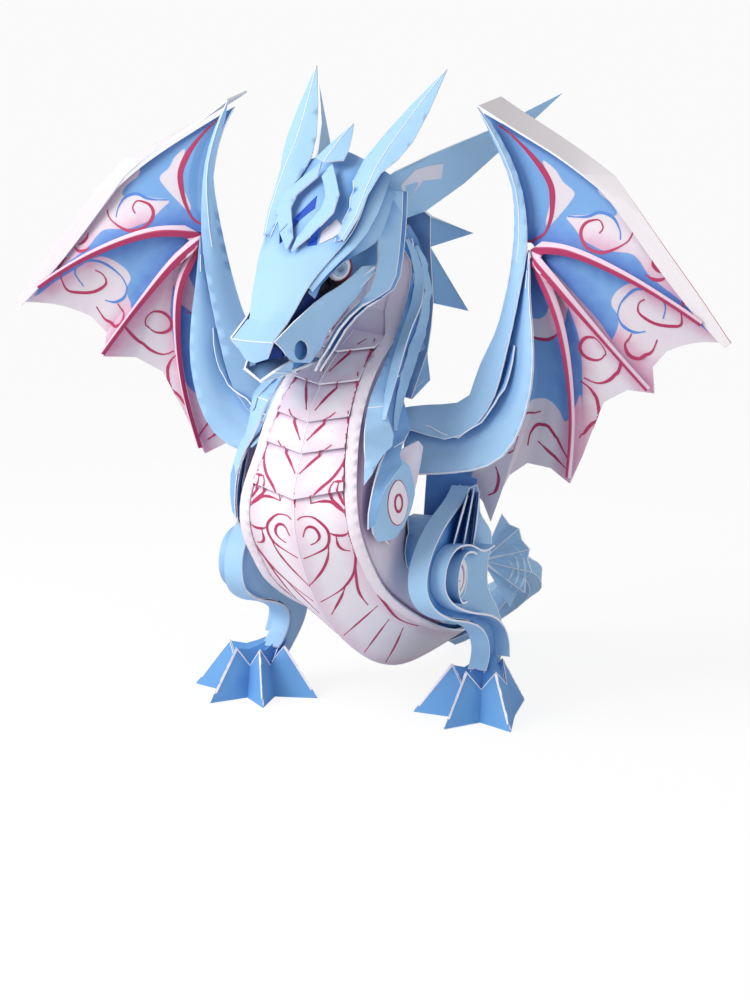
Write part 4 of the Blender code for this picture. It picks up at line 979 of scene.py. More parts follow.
WING_BLUE = (
    ((86, -30.5, 202.5), (94, -31.5, 203), (100, -32, 205), (105.5, -32, 203.5), (108.5, -32.5, 199),
     (109, -33, 195.5)),
    ((106.5, -29.5, 164.5), (108, -31.5, 169), (113.5, -35.5, 173.5), (119, -37, 174.5), (124, -37, 173),
     (126.5, -36, 168.5), (125, -32, 163.5)),
    ((106.5, -29.5, 164.5), (108.5, -28.5, 160.5), (113, -28, 158), (117.5, -28, 158.5)),
)
WING_BAND = (
    ((60, -35, 237.5), (66, -34.5, 232.5), (72, -34, 226.5), (77, -32.5, 220), (80, -31.5, 213.5),
     (80, -30.5, 206.5), (78.5, -29, 200), (75.5, -28, 195), (69, -27, 191.5)),
)

# Middle lines of the three ribs of a wing, in millimetres, from the hub to the tip.
RIBS = (
    ((69, 189.5), (88, 190.5), (112, 182.5), (134, 171), (153.6, 158)),
    ((69, 189.5), (82, 178), (96, 163), (109, 148.5), (120.6, 135.5)),
    ((69, 189.5), (80, 171), (85, 150), (85.5, 122), (81, 93)),
)

# Lines printed on the front of the belly, for the dragon's left half.
BELLY_LINES = (
    ((1.5, -63.5, 142.5), (4, -52, 147.5), (7, -40.5, 152.5)),
    ((2, -78, 129.5), (4.5, -72.5, 134), (8, -66.5, 139.5)),
    ((1.5, -84.5, 118.5), (5.5, -80.5, 123.5), (10, -76.5, 129)),
    ((1, -90.5, 106.5), (5.5, -86.5, 111.5), (11.5, -83.5, 117.5)),
    ((10, -38.5, 152.5), (11.5, -46, 148), (13, -56, 143.5)),
    ((12, -59.5, 142.5), (14, -65, 136.5), (16, -72, 131.5)),
    ((14.5, -74.5, 129.5), (15.5, -76.5, 124), (16.5, -80.5, 119.5)),
    ((17, -81.5, 118), (18, -83.5, 111), (19.5, -87.5, 104.5), (21.5, -89, 92)),
    ((17, -82, 114.5), (16.5, -85.5, 110), (14, -89, 105.5), (10.5, -91.5, 102), (8, -93, 99),
     (6.5, -92.5, 95.5)),
    ((6.5, -92.5, 95.5), (10.5, -91.5, 96.5), (14.5, -91, 96.5), (18, -91, 94), (21.5, -89.5, 91)),
    ((19.5, -87.5, 104.5), (15, -89.5, 104.5)),
    ((15, -89.5, 104.5), (14, -91, 102), (14.5, -90.5, 98), (18, -91, 95), (21.5, -89, 91.5)),
    ((17, -89, 104.5), (17, -91, 101), (19, -90.5, 97), (21.5, -89.5, 92.5)),
    ((1.5, -93.5, 88.5), (3.5, -93, 90), (7.5, -92.5, 90), (11, -92, 87.5), (13, -90.5, 84.5),
     (13, -89.5, 80.5),
     (11, -88, 77), (6, -87.5, 74), (1.5, -87.5, 72)),
    ((3, -91.5, 81.5), (4.5, -92.5, 85), (6.5, -92.5, 86), (8.5, -91.5, 85), (9.5, -90.5, 82),
     (8, -90, 79.5),
     (5.5, -90, 78)),
    ((13, -90.5, 84), (15.5, -89.5, 83), (19, -89, 83), (22, -88.5, 85.5)),
    ((16, -89.5, 82.5), (16, -87.5, 78.5), (17.5, -86, 76.5), (20, -85, 76)),
    ((22, -88.5, 85.5), (22, -85.5, 79), (20.5, -81, 71.5), (17.5, -76.5, 65), (12.5, -73.5, 59),
     (8, -72.5, 55.5),
     (2, -72.5, 51.5)),
    ((13, -73.5, 59.5), (9, -69.5, 53), (3, -64.5, 45)),
    ((21, -82, 72.5), (18, -74.5, 63), (16.5, -68, 55.5), (16, -58.5, 49)),
    ((12.5, -88.5, 79), (10.5, -85, 72.5), (6.5, -82, 66), (0, -79.5, 59)),
    ((22, -88.5, 85), (22.5, -80.5, 74), (22, -68.5, 61), (21, -53.5, 49), (19, -35, 38.5),
     (19.5, -16, 31.5)),
    ((1.5, -49.5, 33), (10, -51.5, 40.5), (18.5, -54.5, 48)),
    ((1.5, -29, 21.5), (8.5, -33.5, 30), (17, -39.5, 39)),
    ((1, -6.5, 12), (9, -15, 22.5), (16.5, -24.5, 32.5)),
)
KEEL_MARK = ((0.3, -94, 99.5), (0.3, -93.5, 93.5))
# Rows across the brow band, in the head's own frame, from the horn's root to the snout.
BROW_BAND = (
    ((15, 3, 34), (20, 2.5, 33.5), (22.8, 2, 31.5)),
    ((17.5, -6, 34), (21.6, -6, 32.6), (24.3, -6, 30)),
    ((18.6, -15, 31.6), (22.2, -15, 29.8), (24.6, -15, 27.2)),
    ((18.3, -23, 28), (21.6, -23, 26.8), (23.6, -23.5, 24.6)),
    ((17, -31, 25.3), (19.8, -31, 24.8), (21.8, -31.5, 23.4)),
    ((14.8, -39, 24.3), (17.2, -39, 24.2), (19.2, -39.5, 23)),
    ((13, -46, 23.2), (15, -46, 23.2), (16.6, -46.5, 21.9)),
    ((11.4, -54, 21.6), (12.8, -54, 21.4), (13.8, -54.5, 20)),
)

# Rows from side to side of the strip under the join of the forehead and the nose cap, in the head's frame.
NOSE_BRIDGE = (
    ((-9.6, -65.5, 17.2), (-5, -66.2, 19.3), (0, -66.5, 19.4), (5, -66.2, 19.3), (9.6, -65.5, 17.2)),
    ((-9, -69.2, 15.9), (-4.8, -70, 17.5), (0, -70.5, 18.2), (4.8, -70, 17.5), (9, -69.2, 15.9)),
    ((-8.8, -73, 16), (-4.6, -74, 16.9), (0, -74.5, 17.6), (4.6, -74, 16.9), (8.8, -73, 16)),
)

# Outlines of the patches on the crown, the left ear and the crest.
# The crown and brow slots are painted shadow: dark patches where gaps between the plates lie in shade.
CROWN_SLOT = ((-6.5, -59, 210), (-5.5, -62.5, 205), (-10.5, -65, 200.5), (-14.5, -71, 196),
              (-17, -70, 191.5),
              (-16.5, -71, 196), (-14.5, -69.5, 198.5), (-11, -62, 204))
BROW_SLOT = ((1, -71.5, 199), (-0.5, -70.5, 195), (0, -72.5, 192), (-3.5, -73.5, 191.5), (-2, -73.5, 195.5))
CROWN_FACET = ((5, -64, 202), (10, -66.5, 198), (5.5, -69.5, 194.5), (1, -72.5, 192.5), (0.5, -69.5, 196.5),
               (2.5, -67, 199))
EAR_PATCH = ((18.5, -34.5, 212.5), (23, -30.5, 218.5), (27.5, -25.5, 220), (31, -21, 220.5),
             (30, -20.5, 214.5),
             (25, -27, 214), (21.5, -29.5, 209), (19, -31, 207.5))
CREST_PATCH = ((12, -10.5, 139.5), (20.5, -10.5, 133.5), (18.5, -19, 130), (17.5, -21, 125.5),
               (11.5, -17.5, 126.5), (10.5, -13.5, 134))
# The drop on a sleeve: its middle and half width on the left arm, and its outline in half sizes.
DROP_AT, DROP_ACROSS, DROP_TALL = (32.7, -69.5, 93.4), (1.15, 7.3, -0.9), 8.4
DROP_OUTLINE = ((0, 1.05), (0.55, 0.82), (0.95, 0.3), (0.98, -0.2), (0.62, -0.78), (0, -1), (-0.6, -0.8),
                (-0.92, -0.25), (-0.85, 0.35), (-0.5, 0.82))

# Paths of the strips glued over the neck, the wing arms and the hips, on the dragon's left.
NECK_LAYERS = (
    ((17.6, -27.6, 190.4), (18.3, -23.2, 182.8), (19.2, -22.2, 174), (19.6, -26.1, 165.2),
     (19.8, -34.7, 156.3),
     (20.8, -45, 148.2), (22.6, -55, 140.6), (25.8, -67.2, 132.8), (27.5, -72.5, 126)),
    ((18.4, -20.5, 187.3), (20.7, -18.8, 179.3), (20.5, -15, 169.2), (20.6, -20.4, 159.8),
     (20.2, -27.4, 150.6),
     (22.5, -40, 143.6), (24.4, -50.2, 136.1), (25.4, -56.4, 128), (27.4, -62, 120.4)),
)
ARM_LAYER = ((63.4, -32.9, 151.8), (60.6, -33, 142.6), (56.6, -32.2, 133.6), (51.2, -31, 125.9),
             (43.7, -30.2, 119.7), (35.9, -29.8, 117.5), (28.1, -28.6, 118.8))
HIP_PLEATS = (((42.3, -40, 69), (42.3, -33, 78), (42.3, -24, 88)),
              ((42.3, -29, 67), (42.3, -24, 78), (42.3, -17, 90)),
              ((42.3, -18, 66), (42.3, -14.5, 77), (42.3, -11, 88)))
# Each foot: its middle, the directions of its toes in degrees and the middle of the leg above it.
FEET = {"left": ((50.5, -23.43), (197, 258, 314, 435), (48.6, -14.5)),
        "right": ((-48.5, -26.93), (183, 252, 300, 356, 450), (-42.4, -14.5))}
# The fold along the top of a toe, as (distance from the middle of the foot, height).
TOE_FOLD = ((12.6, 20.1), (20.2, 10.3), (27.6, 0.6))
# The web of shade card between the hip and the trunk is painted shade.
HIP_WEB = (((22, -14, 99), (32, -17, 98), (42, -10, 93)), ((22, -16, 88), (32, -19, 88), (40, -14, 84)),
           ((22, -18, 76), (32, -20, 76), (39, -16, 74)))
# The oval in the left knee with its curl and the quilled strip round it, as (y, z) from its middle.
KNEE_AT = (47.5, -42.2, 60.2)
KNEE_OUTLINE = ((0, 7.4), (4.6, 6.2), (6.6, 1.5), (5.6, -4), (1.5, -7), (-3, -6.4), (-5.6, -1.5),
                (-4.2, 4.5))
KNEE_HOOK = ((0, -5.5), (3, -3.4), (3.6, 0.6), (1.8, 3.8), (-1, 4.0), (-2.6, 1.6), (-2, -1), (-0.4, -1.6))
KNEE_RING = ((0, -9.8), (-5.5, -9), (-9, -4.5), (-9.4, 1.5), (-6.5, 7.0), (-1, 9.6), (5.5, 9.0), (10, 7.2))
# Lines printed on the fan of the tail.
FAN_ARCS = (
    ((39.5, 31.5, 51), (41, 31, 50.5), (42, 30, 49), (42.5, 30, 47.5), (41.5, 31.5, 45.5), (41, 30.5, 44),
     (40.5, 29.5, 43)),
    ((41, 30, 54.5), (43, 30.5, 53), (44, 31, 50.5), (45, 29.5, 48), (44, 31.5, 44.5), (43.5, 30, 42),
     (41, 31, 40)),
    ((41.5, 31.5, 57.5), (45, 29.5, 56), (46.5, 32, 52), (48, 29.5, 48), (46.5, 31.5, 43), (45.5, 29.5, 40),
     (41.5, 31.5, 36.5)),
)

PLATES = ("throat_plate", "neck_plate", "chest_plate_upper", "chest_plate_middle", "chest_plate_lower")
# In the head's frame, in millimetres: the radius of the dark painted shade round each eye, how far forward
# the core turns from light blue to its painted shade of deep blue, and how far out the solid's eyeballs may
# reach.
SOCKET_RADIUS, BEHIND_EYES, SUNK_EYE = 10.0, 31, 13.4
# The angle of the iris off the gaze in degrees, and the colours by that angle as a share of 90 degrees.
IRIS_ANGLE = 34
EYE_RINGS = ((0.0, (52, 74, 104)), (0.11, (58, 84, 116)), (0.17, (96, 136, 172)), (0.33, (150, 178, 205)),
             (0.38, (100, 128, 160)), (0.43, (214, 222, 236)), (1.0, (206, 208, 224)))
# The hub of the left wing, and how far from it along x the rim's edge stays white, in metres.
WING_HUB, WHITE_TOP = (69, -26.9, 189.5), 0.027
# Distances in metres between which the floor turns to plain paper, and the places that lamps and camera face.
FLOOR_FADE = (0.25, 0.8)
LIT_PLACE, LOOKED_AT = Vector((0, 0, 0.12)), Vector((0, STANCE * MM, 0.130))


# ---------------------------------------------------------------- pieces

class DragonOperator(bpy.types.Operator):
    """Shared base of the dragon's operators"""
    bl_options = {"REGISTER", "UNDO"}


class OBJECT_OT_dragon_trunk(DragonOperator):
    """Finishes the trunk, the printed front sheet, its five plates and the rim strips"""
    bl_idname = "object.dragon_trunk"
    bl_label = "Trunk and Front"

    def execute(self, context):
        trunk = finish_card("trunk", "trunk card", "white_card", smooth=1, fold_lines=NO_FOLDS, edges=False)
        # The back is blue behind a plane that leans back upwards.
        _, y, z = (points_of(trunk.data) / MM).T
        stored(trunk.data, "field", (y - 10 - 0.2 * (z - 60)) * 0.1)
        finish_card("belly_sheet", *PRINTED, smooth=3, fold_lines=26, keel=True)
        for name in PLATES:
            finish_card(name, *PRINTED, fold_lines=26, keel=True)
        for side, _ in SIDES:
            finish_card("rim_strip_" + side, *WHITE, smooth=0, fold_lines=NO_FOLDS)
        return {"FINISHED"}


class OBJECT_OT_dragon_neck(DragonOperator):
    """Finishes the layered bands down the neck and the pleated crest on the nape"""
    bl_idname = "object.dragon_neck"
    bl_label = "Neck Bands and Crest"

    def execute(self, context):
        for side, _ in SIDES:
            finish_card("neck_band_front_" + side, *LIGHT_ON_MID, smooth=0)
            finish_card("neck_band_rear_" + side, *MID, smooth=0)
        finish_card("back_crest", *MID, smooth=0)
        for side, sign in SIDES:
            bands = joined_copy("bands_target", ["neck_band_front_" + side, "neck_band_rear_" + side])
            for k, path in enumerate(NECK_LAYERS):
                layer_strip("neck_layer_%d_%s" % (k, side), path, sign, bands, 0.004, 0.0022)
            bpy.data.objects.remove(bands)
        return {"FINISHED"}


class OBJECT_OT_dragon_head(DragonOperator):
    """Finishes the sheets of the head, the horns and the ears"""
    bl_idname = "object.dragon_head"
    bl_label = "Head"

    def execute(self, context):
        # The head's core is painted shade inside the head, near black round the eyes and light blue behind
        # them.
        core = finish_card("head_core", "deep blue card", "deep_blue_card", smooth=0, fold_lines=NO_FOLDS,
                           edges=False, reshape=self.sink_eyes)
        places = [to_head(vert.co) for vert in core.data.vertices]
        sockets = [Vector((16 * sign, -40, 13)) for _, sign in SIDES]
        stored(core.data, "field", [SOCKET_RADIUS - min((p - at).length for at in sockets) for p in places])
        stored(core.data, "behind", [p.y + BEHIND_EYES for p in places])
        finish_card("forehead", *LIGHT)
        finish_card("nose_cap", *LIGHT, crease=18, fold_lines=20)
        finish_card("crown_spike", *LIGHT_ON_MID)
        finish_card("lower_jaw", *LIGHT, smooth=0)
        for side, sign in SIDES:
            for name in ("snout_side_", "eyelid_", "cheek_front_", "cheek_rear_", "crown_plate_"):
                finish_card(name + side, *LIGHT, smooth=0)
            finish_card("horn_" + side, *LIGHT, smooth=0, fold_lines=14)
            finish_card("ear_" + side, *LIGHT_ON_MID, smooth=0, fold_lines=14)
            card_strip("brow_band_" + side, [[in_head(p, sign) for p in row] for row in BROW_BAND], *LIGHT)
            # Strips of shade card inside the nostrils, as painted shade.
            lining = [[in_head((9.2, y, z), sign) for z in (-3, 5, 13)] for y in (-76, -68, -60)]
            card_strip("nostril_lining_" + side, lining, *SHADE, smooth=0)
        card_strip("nose_bridge", [[in_head(p) for p in row] for row in NOSE_BRIDGE], *LIGHT, smooth=0)
        return {"FINISHED"}

    def sink_eyes(self, bm):
        """Pushes the solid's plain eyeballs in, because finer ones stand in front of them."""
        for vert in bm.verts:
            x, y, z = to_head(vert.co)
            if abs(x) > SUNK_EYE and abs(y + 38) < 6.2 and abs(z - 15.4) < 5:
                vert.co = in_head((math.copysign(SUNK_EYE, x), y, z))


class OBJECT_OT_dragon_eyes(DragonOperator):
    """Makes the eyeballs with iris and pupil, and the dark red rim behind each"""
    bl_idname = "object.dragon_eyes"
    bl_label = "Eyes"

    def execute(self, context):
        for side, sign in SIDES:
            centre = Vector((15.0 * sign, -37.3, 17.6))
            gaze = Vector((0.80 * sign, -0.50, 0.40)).normalized()
            self.ball("eyeball_" + side, centre, (4.45, 5.6, 4.65), gaze, True)
            back = centre + Vector((-0.5 * sign, 1.0, -1.1))
            self.ball("eye_rim_" + side, back, (4.7, 5.9, 5.0), gaze, False)
        return {"FINISHED"}

    def ball(self, name, centre, radii, gaze, iris):
        """A ball that looks along its gaze and bulges a little over the iris."""
        bm = bmesh.new()
        bmesh.ops.create_uvsphere(bm, u_segments=48, v_segments=32, radius=1.0)
        turn = gaze.to_track_quat("Z", "Y").to_matrix()
        for vert in bm.verts:
            angle = math.degrees(math.acos(max(-1, min(1, vert.co.z))))
            if iris and angle < IRIS_ANGLE:
                vert.co *= 1 + 0.03 * math.cos(math.radians(angle / IRIS_ANGLE * 90))
            vert.co = in_head(Vector([p * r for p, r in zip(turn @ vert.co, radii)]) + centre)
        bmesh.ops.recalc_face_normals(bm, faces=bm.faces)
        mesh = mesh_from(bm, name)
        turned = []
        for vert in mesh.vertices:
            flat = Vector([p / r for p, r in zip(to_head(vert.co) - centre, radii)]).normalized()
            turned.append(math.degrees(flat.angle(gaze)))
        stored(mesh, "gaze", turned)
        mesh.materials.append(self.eye_material() if iris else stock("eye rim card"))
        mesh.shade_smooth()
        return piece(link(name, mesh), "white_card" if iris else "pink_card")

    def eye_material(self):
        """A glossy eye, coloured by the angle off its gaze."""
        if "glass eye" in bpy.data.materials:
            return bpy.data.materials["glass eye"]
        made, tree, shader = new_material("glass eye")
        ramp = node(tree, "ShaderNodeValToRGB", {0: maths(tree, "DIVIDE", attribute(tree, "gaze"), 90.0)})
        while len(ramp.color_ramp.elements) < len(EYE_RINGS):
            ramp.color_ramp.elements.new(0.5)
        for element, (place, shade) in zip(ramp.color_ramp.elements, EYE_RINGS):
            element.position = place
            element.color = (*srgb(*shade), 1.0)
        light = ranged(tree, noise(tree, object_place(tree), 900.0, 3.0), 0.3, 0.7, (0.85, 1.1))
        feed(tree, shader.inputs["Base Color"], scaled(tree, ramp.outputs[0], light))
        shader.inputs["Roughness"].default_value = 0.22
        shader.inputs["Coat Weight"].default_value = 0.5
        return made


class OBJECT_OT_dragon_wings(DragonOperator):
    """Finishes the wing arms, the printed wing sheets, their hems, rims and ribs"""
    bl_idname = "object.dragon_wings"
    bl_label = "Wings"

    def execute(self, context):
        for side, sign in SIDES:
            arm = finish_card("wing_arm_front_" + side, *LIGHT, smooth=0)
            finish_card("wing_arm_back_" + side, *LIGHT, smooth=0)
            finish_card("wing_rim_" + side, "rim card", "white_card", edge="red cut edge",
                        fold_lines=NO_FOLDS, reshape=lambda bm, sign=sign: self.whiten_inner_edge(bm, sign))
            ribs = finish_card("wing_ribs_" + side, "pink card", "pink_card", fold_lines=NO_FOLDS,
                               edges=False)
            # Above each rib's middle line the card is paler, a painted highlight on its upper side.
            stored(ribs.data, "across", side_of(front_view(ribs.data, sign), RIBS) - 0.25)
            sheet = finish_card("wing_membrane_" + side, "wing sheet", "mid_blue_card", smooth=3, crease=12,
                                fold_lines=NO_FOLDS, also=("wing_hem_" + side,))
            stored(sheet.data, "field", signed_distance(front_view(sheet.data, sign), WING_FIELDS))
            # Closeness to the ribs: it deepens the blue beside them as painted shade and tints the white
            # fields pink as print.
            stored(sheet.data, "edge", distances(points_of(sheet.data), points_of(ribs.data), 0.012))
            layer_strip("wing_layer_" + side, ARM_LAYER, sign, arm, 0.005, 0.0024)
        return {"FINISHED"}

    def whiten_inner_edge(self, bm, sign):
        """The rim's edge stays white where it looks to the hub of the wing and along its top."""
        x, y, z = WING_HUB
        hub = Vector((x * sign, y, z)) * MM
        for face in bm.faces:
            away = face.calc_center_median() - hub
            if face.material_index and (face.normal.dot(away) < 0 or abs(away.x) < WHITE_TOP):
                face.material_index = 2


class OBJECT_OT_dragon_arms(DragonOperator):
    """Finishes the folded arms with a printed drop on each sleeve"""
    bl_idname = "object.dragon_arms"
    bl_label = "Arms"

    def execute(self, context):
        for side, sign in SIDES:
            finish_card("arm_plate_" + side, *WHITE, fold_lines=NO_FOLDS)
            sleeve = finish_card("arm_sleeve_" + side, *LIGHT)
            outline = [self.on_sleeve(u, v, sign) for u, v in DROP_OUTLINE]
            laid_patch("arm_drop_" + side, outline, sleeve, *WHITE_INK)
            printed_lines("arm_drop_rim_" + side, [rim_of(outline)], sleeve, *PINK_INK, width=0.0009,
                          taper=BLUNT)
            ring = [self.on_sleeve(v * 0.36, u * 0.4, sign) for u, v in CIRCLE]
            printed_lines("arm_drop_ring_" + side, [ring], sleeve, *PINK_INK, width=0.0011, taper=BLUNT,
                          rise=0.0004)
        return {"FINISHED"}

    def on_sleeve(self, u, v, sign):
        """A place on a sleeve, from the middle of its drop, in half widths and half heights."""
        x, y, z = (at + across * u for at, across in zip(DROP_AT, DROP_ACROSS))
        return sign * x, y, z + DROP_TALL * v


class OBJECT_OT_dragon_legs(DragonOperator):
    """Finishes the leg cores, ribbons, quilled scrolls and pleated feet"""
    bl_idname = "object.dragon_legs"
    bl_label = "Legs and Feet"

    def execute(self, context):
        for side, sign in SIDES:
            core = finish_card("leg_core_" + side, *LIGHT_ON_MID, smooth=0, edges=False, fold_lines=50)
            for name in ("leg_ribbon_", "leg_scroll_"):
                finish_card(name + side, *LIGHT, crease=60, fold_lines=NO_FOLDS)
            foot = finish_card("foot_" + side, *FOOT, smooth=0, edges=False, fold_lines=28)
            self.toe_folds(side, foot)
            self.instep(side)
            self.pleats(side, sign, core)
            self.knee(side, sign, core)
        return {"FINISHED"}

    def toe_folds(self, side, foot):
        """The pale lines along the tops of the toes: card worn white at the folds, partly a painted highlight
        on the ridges.
        """
        (x, y), toes, _ = FEET[side]
        lines = [[Vector((x, y, z)) + out_at(angle) * out for out, z in TOE_FOLD] for angle in toes]
        printed_lines("toe_folds_" + side, lines, foot, *WHITE_INK, width=0.0012, taper=BLUNT, rise=0.0002)

    def instep(self, side):
        """The folded top of a foot, from the notched rim of its toes up to the leg."""
        (x, y), toes, (leg_x, leg_y) = FEET[side]
        folds = []
        for a, b in zip(toes, toes[1:] + (toes[0] + 360,)):
            folds += [(a, 12.0, 19.6), ((a + b) / 2, 8.6, 12.3)]
        rows = []
        for angle, radius, height in folds + folds[:1]:
            out = out_at(angle)
            rim = Vector((x, y, height)) + out * radius
            top = Vector((leg_x + out.x * 2.2, leg_y + out.y * 5.2, 22.6))
            rows.append([p * MM for p in (rim, rim.lerp(top, 0.5) - Vector((0, 0, 0.8)), top)])
        card_strip("instep_" + side, rows, *FOOT, thickness=0.0006, smooth=1)

    def pleats(self, side, sign, core):
        """Folded strips down the hip, and a web of shade card between the hip and the trunk, painted shade
        where the gap lies in shadow.
        """
        for k, path in enumerate(HIP_PLEATS):
            layer_strip("hip_pleat_%d_%s" % (k, side), path, sign, core, 0.0088, 0.0042)
        rows = [[Vector(p) * MM for p in mirrored(row, sign)] for row in HIP_WEB]
        card_strip("hip_web_" + side, rows, *SHADE)

    def knee(self, side, sign, core):
        """The white oval with its curl in the knee, and the quilled strip round it."""
        def at(points):
            return [(sign * KNEE_AT[0], KNEE_AT[1] + y, KNEE_AT[2] + z) for y, z in points]
        outline = at(KNEE_OUTLINE)
        laid_patch("knee_oval_" + side, outline, core, *WHITE_INK)
        printed_lines("knee_rim_" + side, [rim_of(outline)], core, *PALE_INK, width=0.0008, taper=BLUNT)
        printed_lines("knee_curl_" + side, [at(KNEE_HOOK)], core, "lilac ink", "mid_blue_card", width=0.0012,
                      rise=0.0004)
        rows = [[place * MM + Vector((out * sign, 0, 0)) for out in (-0.004, 0.0012, 0.0034)]
                for place in smoothed(at(KNEE_RING), parts=4)]
        card_strip("knee_quill_" + side, rows, *LIGHT, thickness=0.0008, smooth=1)


class OBJECT_OT_dragon_tail(DragonOperator):
    """Finishes the curled tail and its pleated fan"""
    bl_idname = "object.dragon_tail"
    bl_label = "Tail and Fan"

    def execute(self, context):
        finish_card("tail", *LIGHT, smooth=0, edges=False, fold_lines=32)
        fan = finish_card("tail_fan", *LIGHT, smooth=0, fold_lines=18)
        printed_lines("tail_fan_arcs", FAN_ARCS, fan, *PALE_INK, width=0.001)
        return {"FINISHED"}


class OBJECT_OT_dragon_front_print(DragonOperator):
    """Prints the scrollwork on the belly sheet and the plates"""
    bl_idname = "object.dragon_front_print"
    bl_label = "Front Print"

    def execute(self, context):
        target = joined_copy("front_target", ("belly_sheet", *PLATES))
        for side, sign in SIDES:
            lines = [mirrored(line, sign) for line in BELLY_LINES]
            printed_lines("front_print_" + side, lines, target, *PINK_INK, forward=1.2)
        printed_lines("keel_mark", [KEEL_MARK], target, *PINK_INK)
        bpy.data.objects.remove(target)
        return {"FINISHED"}


class OBJECT_OT_dragon_wing_print(DragonOperator):
    """Prints the scrollwork on the wing sheets"""
    bl_idname = "object.dragon_wing_print"
    bl_label = "Wing Print"

    def execute(self, context):
        (x, y, z), radius = WING_RING
        ring = [(x + u * radius, y - 0.1, z + v * radius) for u, v in CIRCLE]
        prints = (("pink", (*WING_PINK, ring), PINK_INK, 0.0014), ("blue", WING_BLUE, BLUE_INK, 0.0012))
        for side, sign in SIDES:
            target = card_of("wing_membrane_" + side)
            for name, lines, ink, width in prints:
                printed_lines("wing_print_%s_%s" % (name, side), [mirrored(line, sign) for line in lines],
                              target, *ink, width=width, forward=3.5)
            printed_lines("wing_band_" + side, [mirrored(line, sign) for line in WING_BAND], target,
                          *PINK_INK, width=0.0024, taper=2.5, forward=2.0)
        return {"FINISHED"}


class OBJECT_OT_dragon_patches(DragonOperator):
    """Glues the small patches on the crown, the ears and the crest"""
    bl_idname = "object.dragon_patches"
    bl_label = "Patches"

    def execute(self, context):
        crown = joined_copy("crown_target", ("forehead", "crown_plate_left", "crown_plate_right"))
        # Dark slots of painted shadow, and a lilac facet.
        laid_patch("crown_slot", CROWN_SLOT, crown, *SLOT_SHADE, parts=1)
        laid_patch("brow_slot", BROW_SLOT, crown, *SLOT_SHADE, parts=1)
        laid_patch("crown_facet", CROWN_FACET, crown, *LILAC, rise=0.0004, parts=1)
        bpy.data.objects.remove(crown)
        flip = HEAD @ Matrix.Scale(-1, 4, (1, 0, 0)) @ HEAD.inverted()
        for side, sign in SIDES:
            patch = [Vector(p) if sign > 0 else flip @ (Vector(p) * MM) / MM for p in EAR_PATCH]
            laid_patch("ear_patch_" + side, patch, card_of("ear_" + side), *LILAC, parts=1)
            laid_patch("crest_patch_" + side, mirrored(CREST_PATCH, sign), card_of("back_crest"), *LILAC,
                       parts=1)
        return {"FINISHED"}


class OBJECT_OT_dragon_fold_shade(DragonOperator):
    """Paints shade into the colour of the cards where layers lie close over them"""
    bl_idname = "object.dragon_fold_shade"
    bl_label = "Fold Shade"

    def execute(self, context):
        cards = [obj for obj in bpy.data.objects if obj.name.endswith("_card") or "_layer_" in obj.name
                 or obj.name.startswith(("hip_", "knee_quill", "brow_band", "instep"))]
        if not cards:
            self.report({"ERROR"}, "finish the cards first")
            raise RuntimeError("no finished cards to shade")
        shade_folds(cards, settings().sizes.depth_reach)
        return {"FINISHED"}


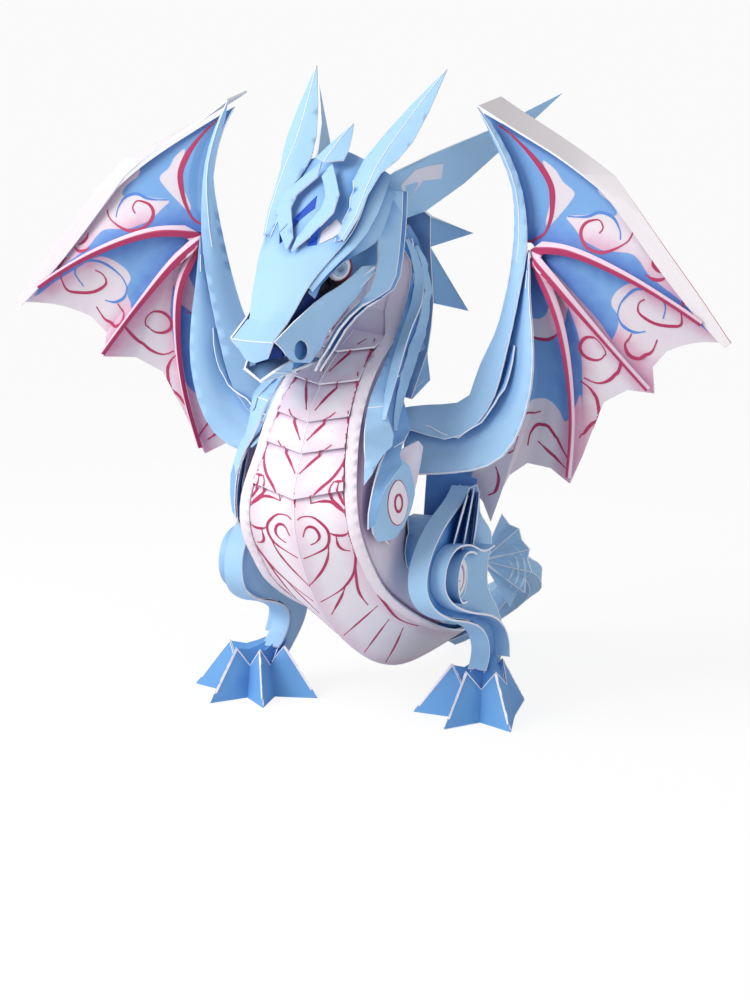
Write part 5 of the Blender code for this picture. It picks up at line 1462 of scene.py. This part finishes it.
class OBJECT_OT_dragon_stage(DragonOperator):
    """Sets up the pale floor, the soft lights and the camera"""
    bl_idname = "object.dragon_stage"
    bl_label = "Studio"

    def execute(self, context):
        studio = settings().studio
        self.backdrop(studio)
        self.lamp("key_light", (-0.75, -0.95, 0.95), 0.9, studio.key, (1.0, 0.985, 0.97))
        self.lamp("fill_light", (1.0, -0.5, 0.35), 0.9, studio.fill, (0.94, 0.97, 1.0))
        self.sky(studio)
        self.camera()
        bpy.context.scene.view_settings.view_transform = "Standard"
        return {"FINISHED"}

    def sky(self, studio):
        """An even white sky, seen as backdrop paper by the camera."""
        world = bpy.data.worlds.new("studio sky")
        bpy.context.scene.world = world
        world.use_nodes = True
        tree = world.node_tree
        light = tree.nodes["Background"]
        feed(tree, light.inputs["Color"], (1, 1, 1))
        feed(tree, light.inputs["Strength"], studio.sky)
        seen = node(tree, "ShaderNodeBackground", {"Color": studio.paper, "Strength": 1.0})
        rays = node(tree, "ShaderNodeLightPath").outputs
        clear = maths(tree, "MAXIMUM", rays["Is Camera Ray"], rays["Is Glossy Ray"])
        clear = maths(tree, "MAXIMUM", clear, rays["Is Transmission Ray"])
        mixed = node(tree, "ShaderNodeMixShader", {0: clear, 1: light.outputs[0], 2: seen.outputs[0]})
        feed(tree, tree.nodes["World Output"].inputs["Surface"], mixed.outputs[0])

    def backdrop(self, studio):
        """A wide floor that takes a soft shadow near the figure and is plain paper further off."""
        bm = bmesh.new()
        bmesh.ops.create_circle(bm, cap_ends=True, segments=96, radius=6.0)
        floor = link("floor", mesh_from(bm, "floor"))
        made, tree, shader = new_material("studio paper")
        feed(tree, shader.inputs["Base Color"], srgb(236, 236, 238))
        feed(tree, shader.inputs["Roughness"], 0.9)
        away = node(tree, "ShaderNodeVectorMath", {0: object_place(tree)},
                    operation="LENGTH").outputs["Value"]
        near, strength = (ranged(tree, away, *FLOOR_FADE, (start, 1.0)) for start in (0.84, 1.085))
        glow = node(tree, "ShaderNodeEmission", {"Color": studio.paper, "Strength": strength})
        rays = node(tree, "ShaderNodeLightPath").outputs
        share = maths(tree, "MULTIPLY", rays["Is Camera Ray"], near)
        mixed = node(tree, "ShaderNodeMixShader", {0: share, 1: shader.outputs[0], 2: glow.outputs[0]})
        feed(tree, tree.nodes["Material Output"].inputs["Surface"], mixed.outputs[0])
        floor.data.materials.append(made)

    def lamp(self, name, place, size, power, tint):
        data = bpy.data.lights.new(name, "AREA")
        data.size = size
        data.energy = power
        data.color = tint
        self.put(name, data, place, (Vector(place) - LIT_PLACE).to_track_quat("Z", "Y"))

    def camera(self):
        """The photo's view: from the dragon's left of the middle and a little above."""
        azimuth, elevation = math.radians(24), math.radians(9)
        back = Vector((math.sin(azimuth) * math.cos(elevation), -math.cos(azimuth) * math.cos(elevation),
                       math.sin(elevation)))
        data = bpy.data.cameras.new("camera")
        data.lens = 100
        data.sensor_width = 36
        data.shift_x, data.shift_y = 0.013, -0.111
        bpy.context.scene.camera = self.put("camera", data, LOOKED_AT + back * 1.111,
                                            (-back).to_track_quat("-Z", "Y"))

    def put(self, name, data, place, turn):
        """A new object with a lamp or camera at a place and turn."""
        made = link(name, data)
        made.location = place
        made.rotation_mode = "QUATERNION"
        made.rotation_quaternion = turn
        return made


class VIEW3D_PT_card_dragon(bpy.types.Panel):
    """Lists the dragon's settings and operators"""
    bl_idname = "VIEW3D_PT_card_dragon"
    bl_label = "Card Dragon"
    bl_space_type = "VIEW_3D"
    bl_region_type = "UI"
    bl_category = "Card Dragon"

    def draw(self, context):
        held = context.scene.card_dragon
        for title, group in (("Colours", held.colours), ("Card", held.sizes), ("Print", held.lines),
                             ("Studio", held.studio)):
            box = self.layout.box()
            box.label(text=title)
            for name in group.__annotations__:
                box.prop(group, name)
        for step in STEPS:
            self.layout.operator(step.bl_idname)


STEPS = (
    OBJECT_OT_dragon_trunk, OBJECT_OT_dragon_neck, OBJECT_OT_dragon_head, OBJECT_OT_dragon_eyes,
    OBJECT_OT_dragon_wings, OBJECT_OT_dragon_arms, OBJECT_OT_dragon_legs, OBJECT_OT_dragon_tail,
    OBJECT_OT_dragon_front_print, OBJECT_OT_dragon_wing_print, OBJECT_OT_dragon_patches,
    OBJECT_OT_dragon_fold_shade, OBJECT_OT_dragon_stage,
)
CLASSES = (CardColours, CardSizes, PrintSizes, StudioSettings, DragonSettings, *STEPS, VIEW3D_PT_card_dragon)


def register():
    for cls in CLASSES:
        bpy.utils.register_class(cls)
    bpy.types.Scene.card_dragon = PointerProperty(type=DragonSettings)


def unregister():
    del bpy.types.Scene.card_dragon
    for cls in reversed(CLASSES):
        bpy.utils.unregister_class(cls)


def main():
    """Registers the add-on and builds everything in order."""
    register()
    for step in STEPS:
        group, name = step.bl_idname.split(".")
        getattr(getattr(bpy.ops, group), name)()


if __name__ == "__main__":
    main()
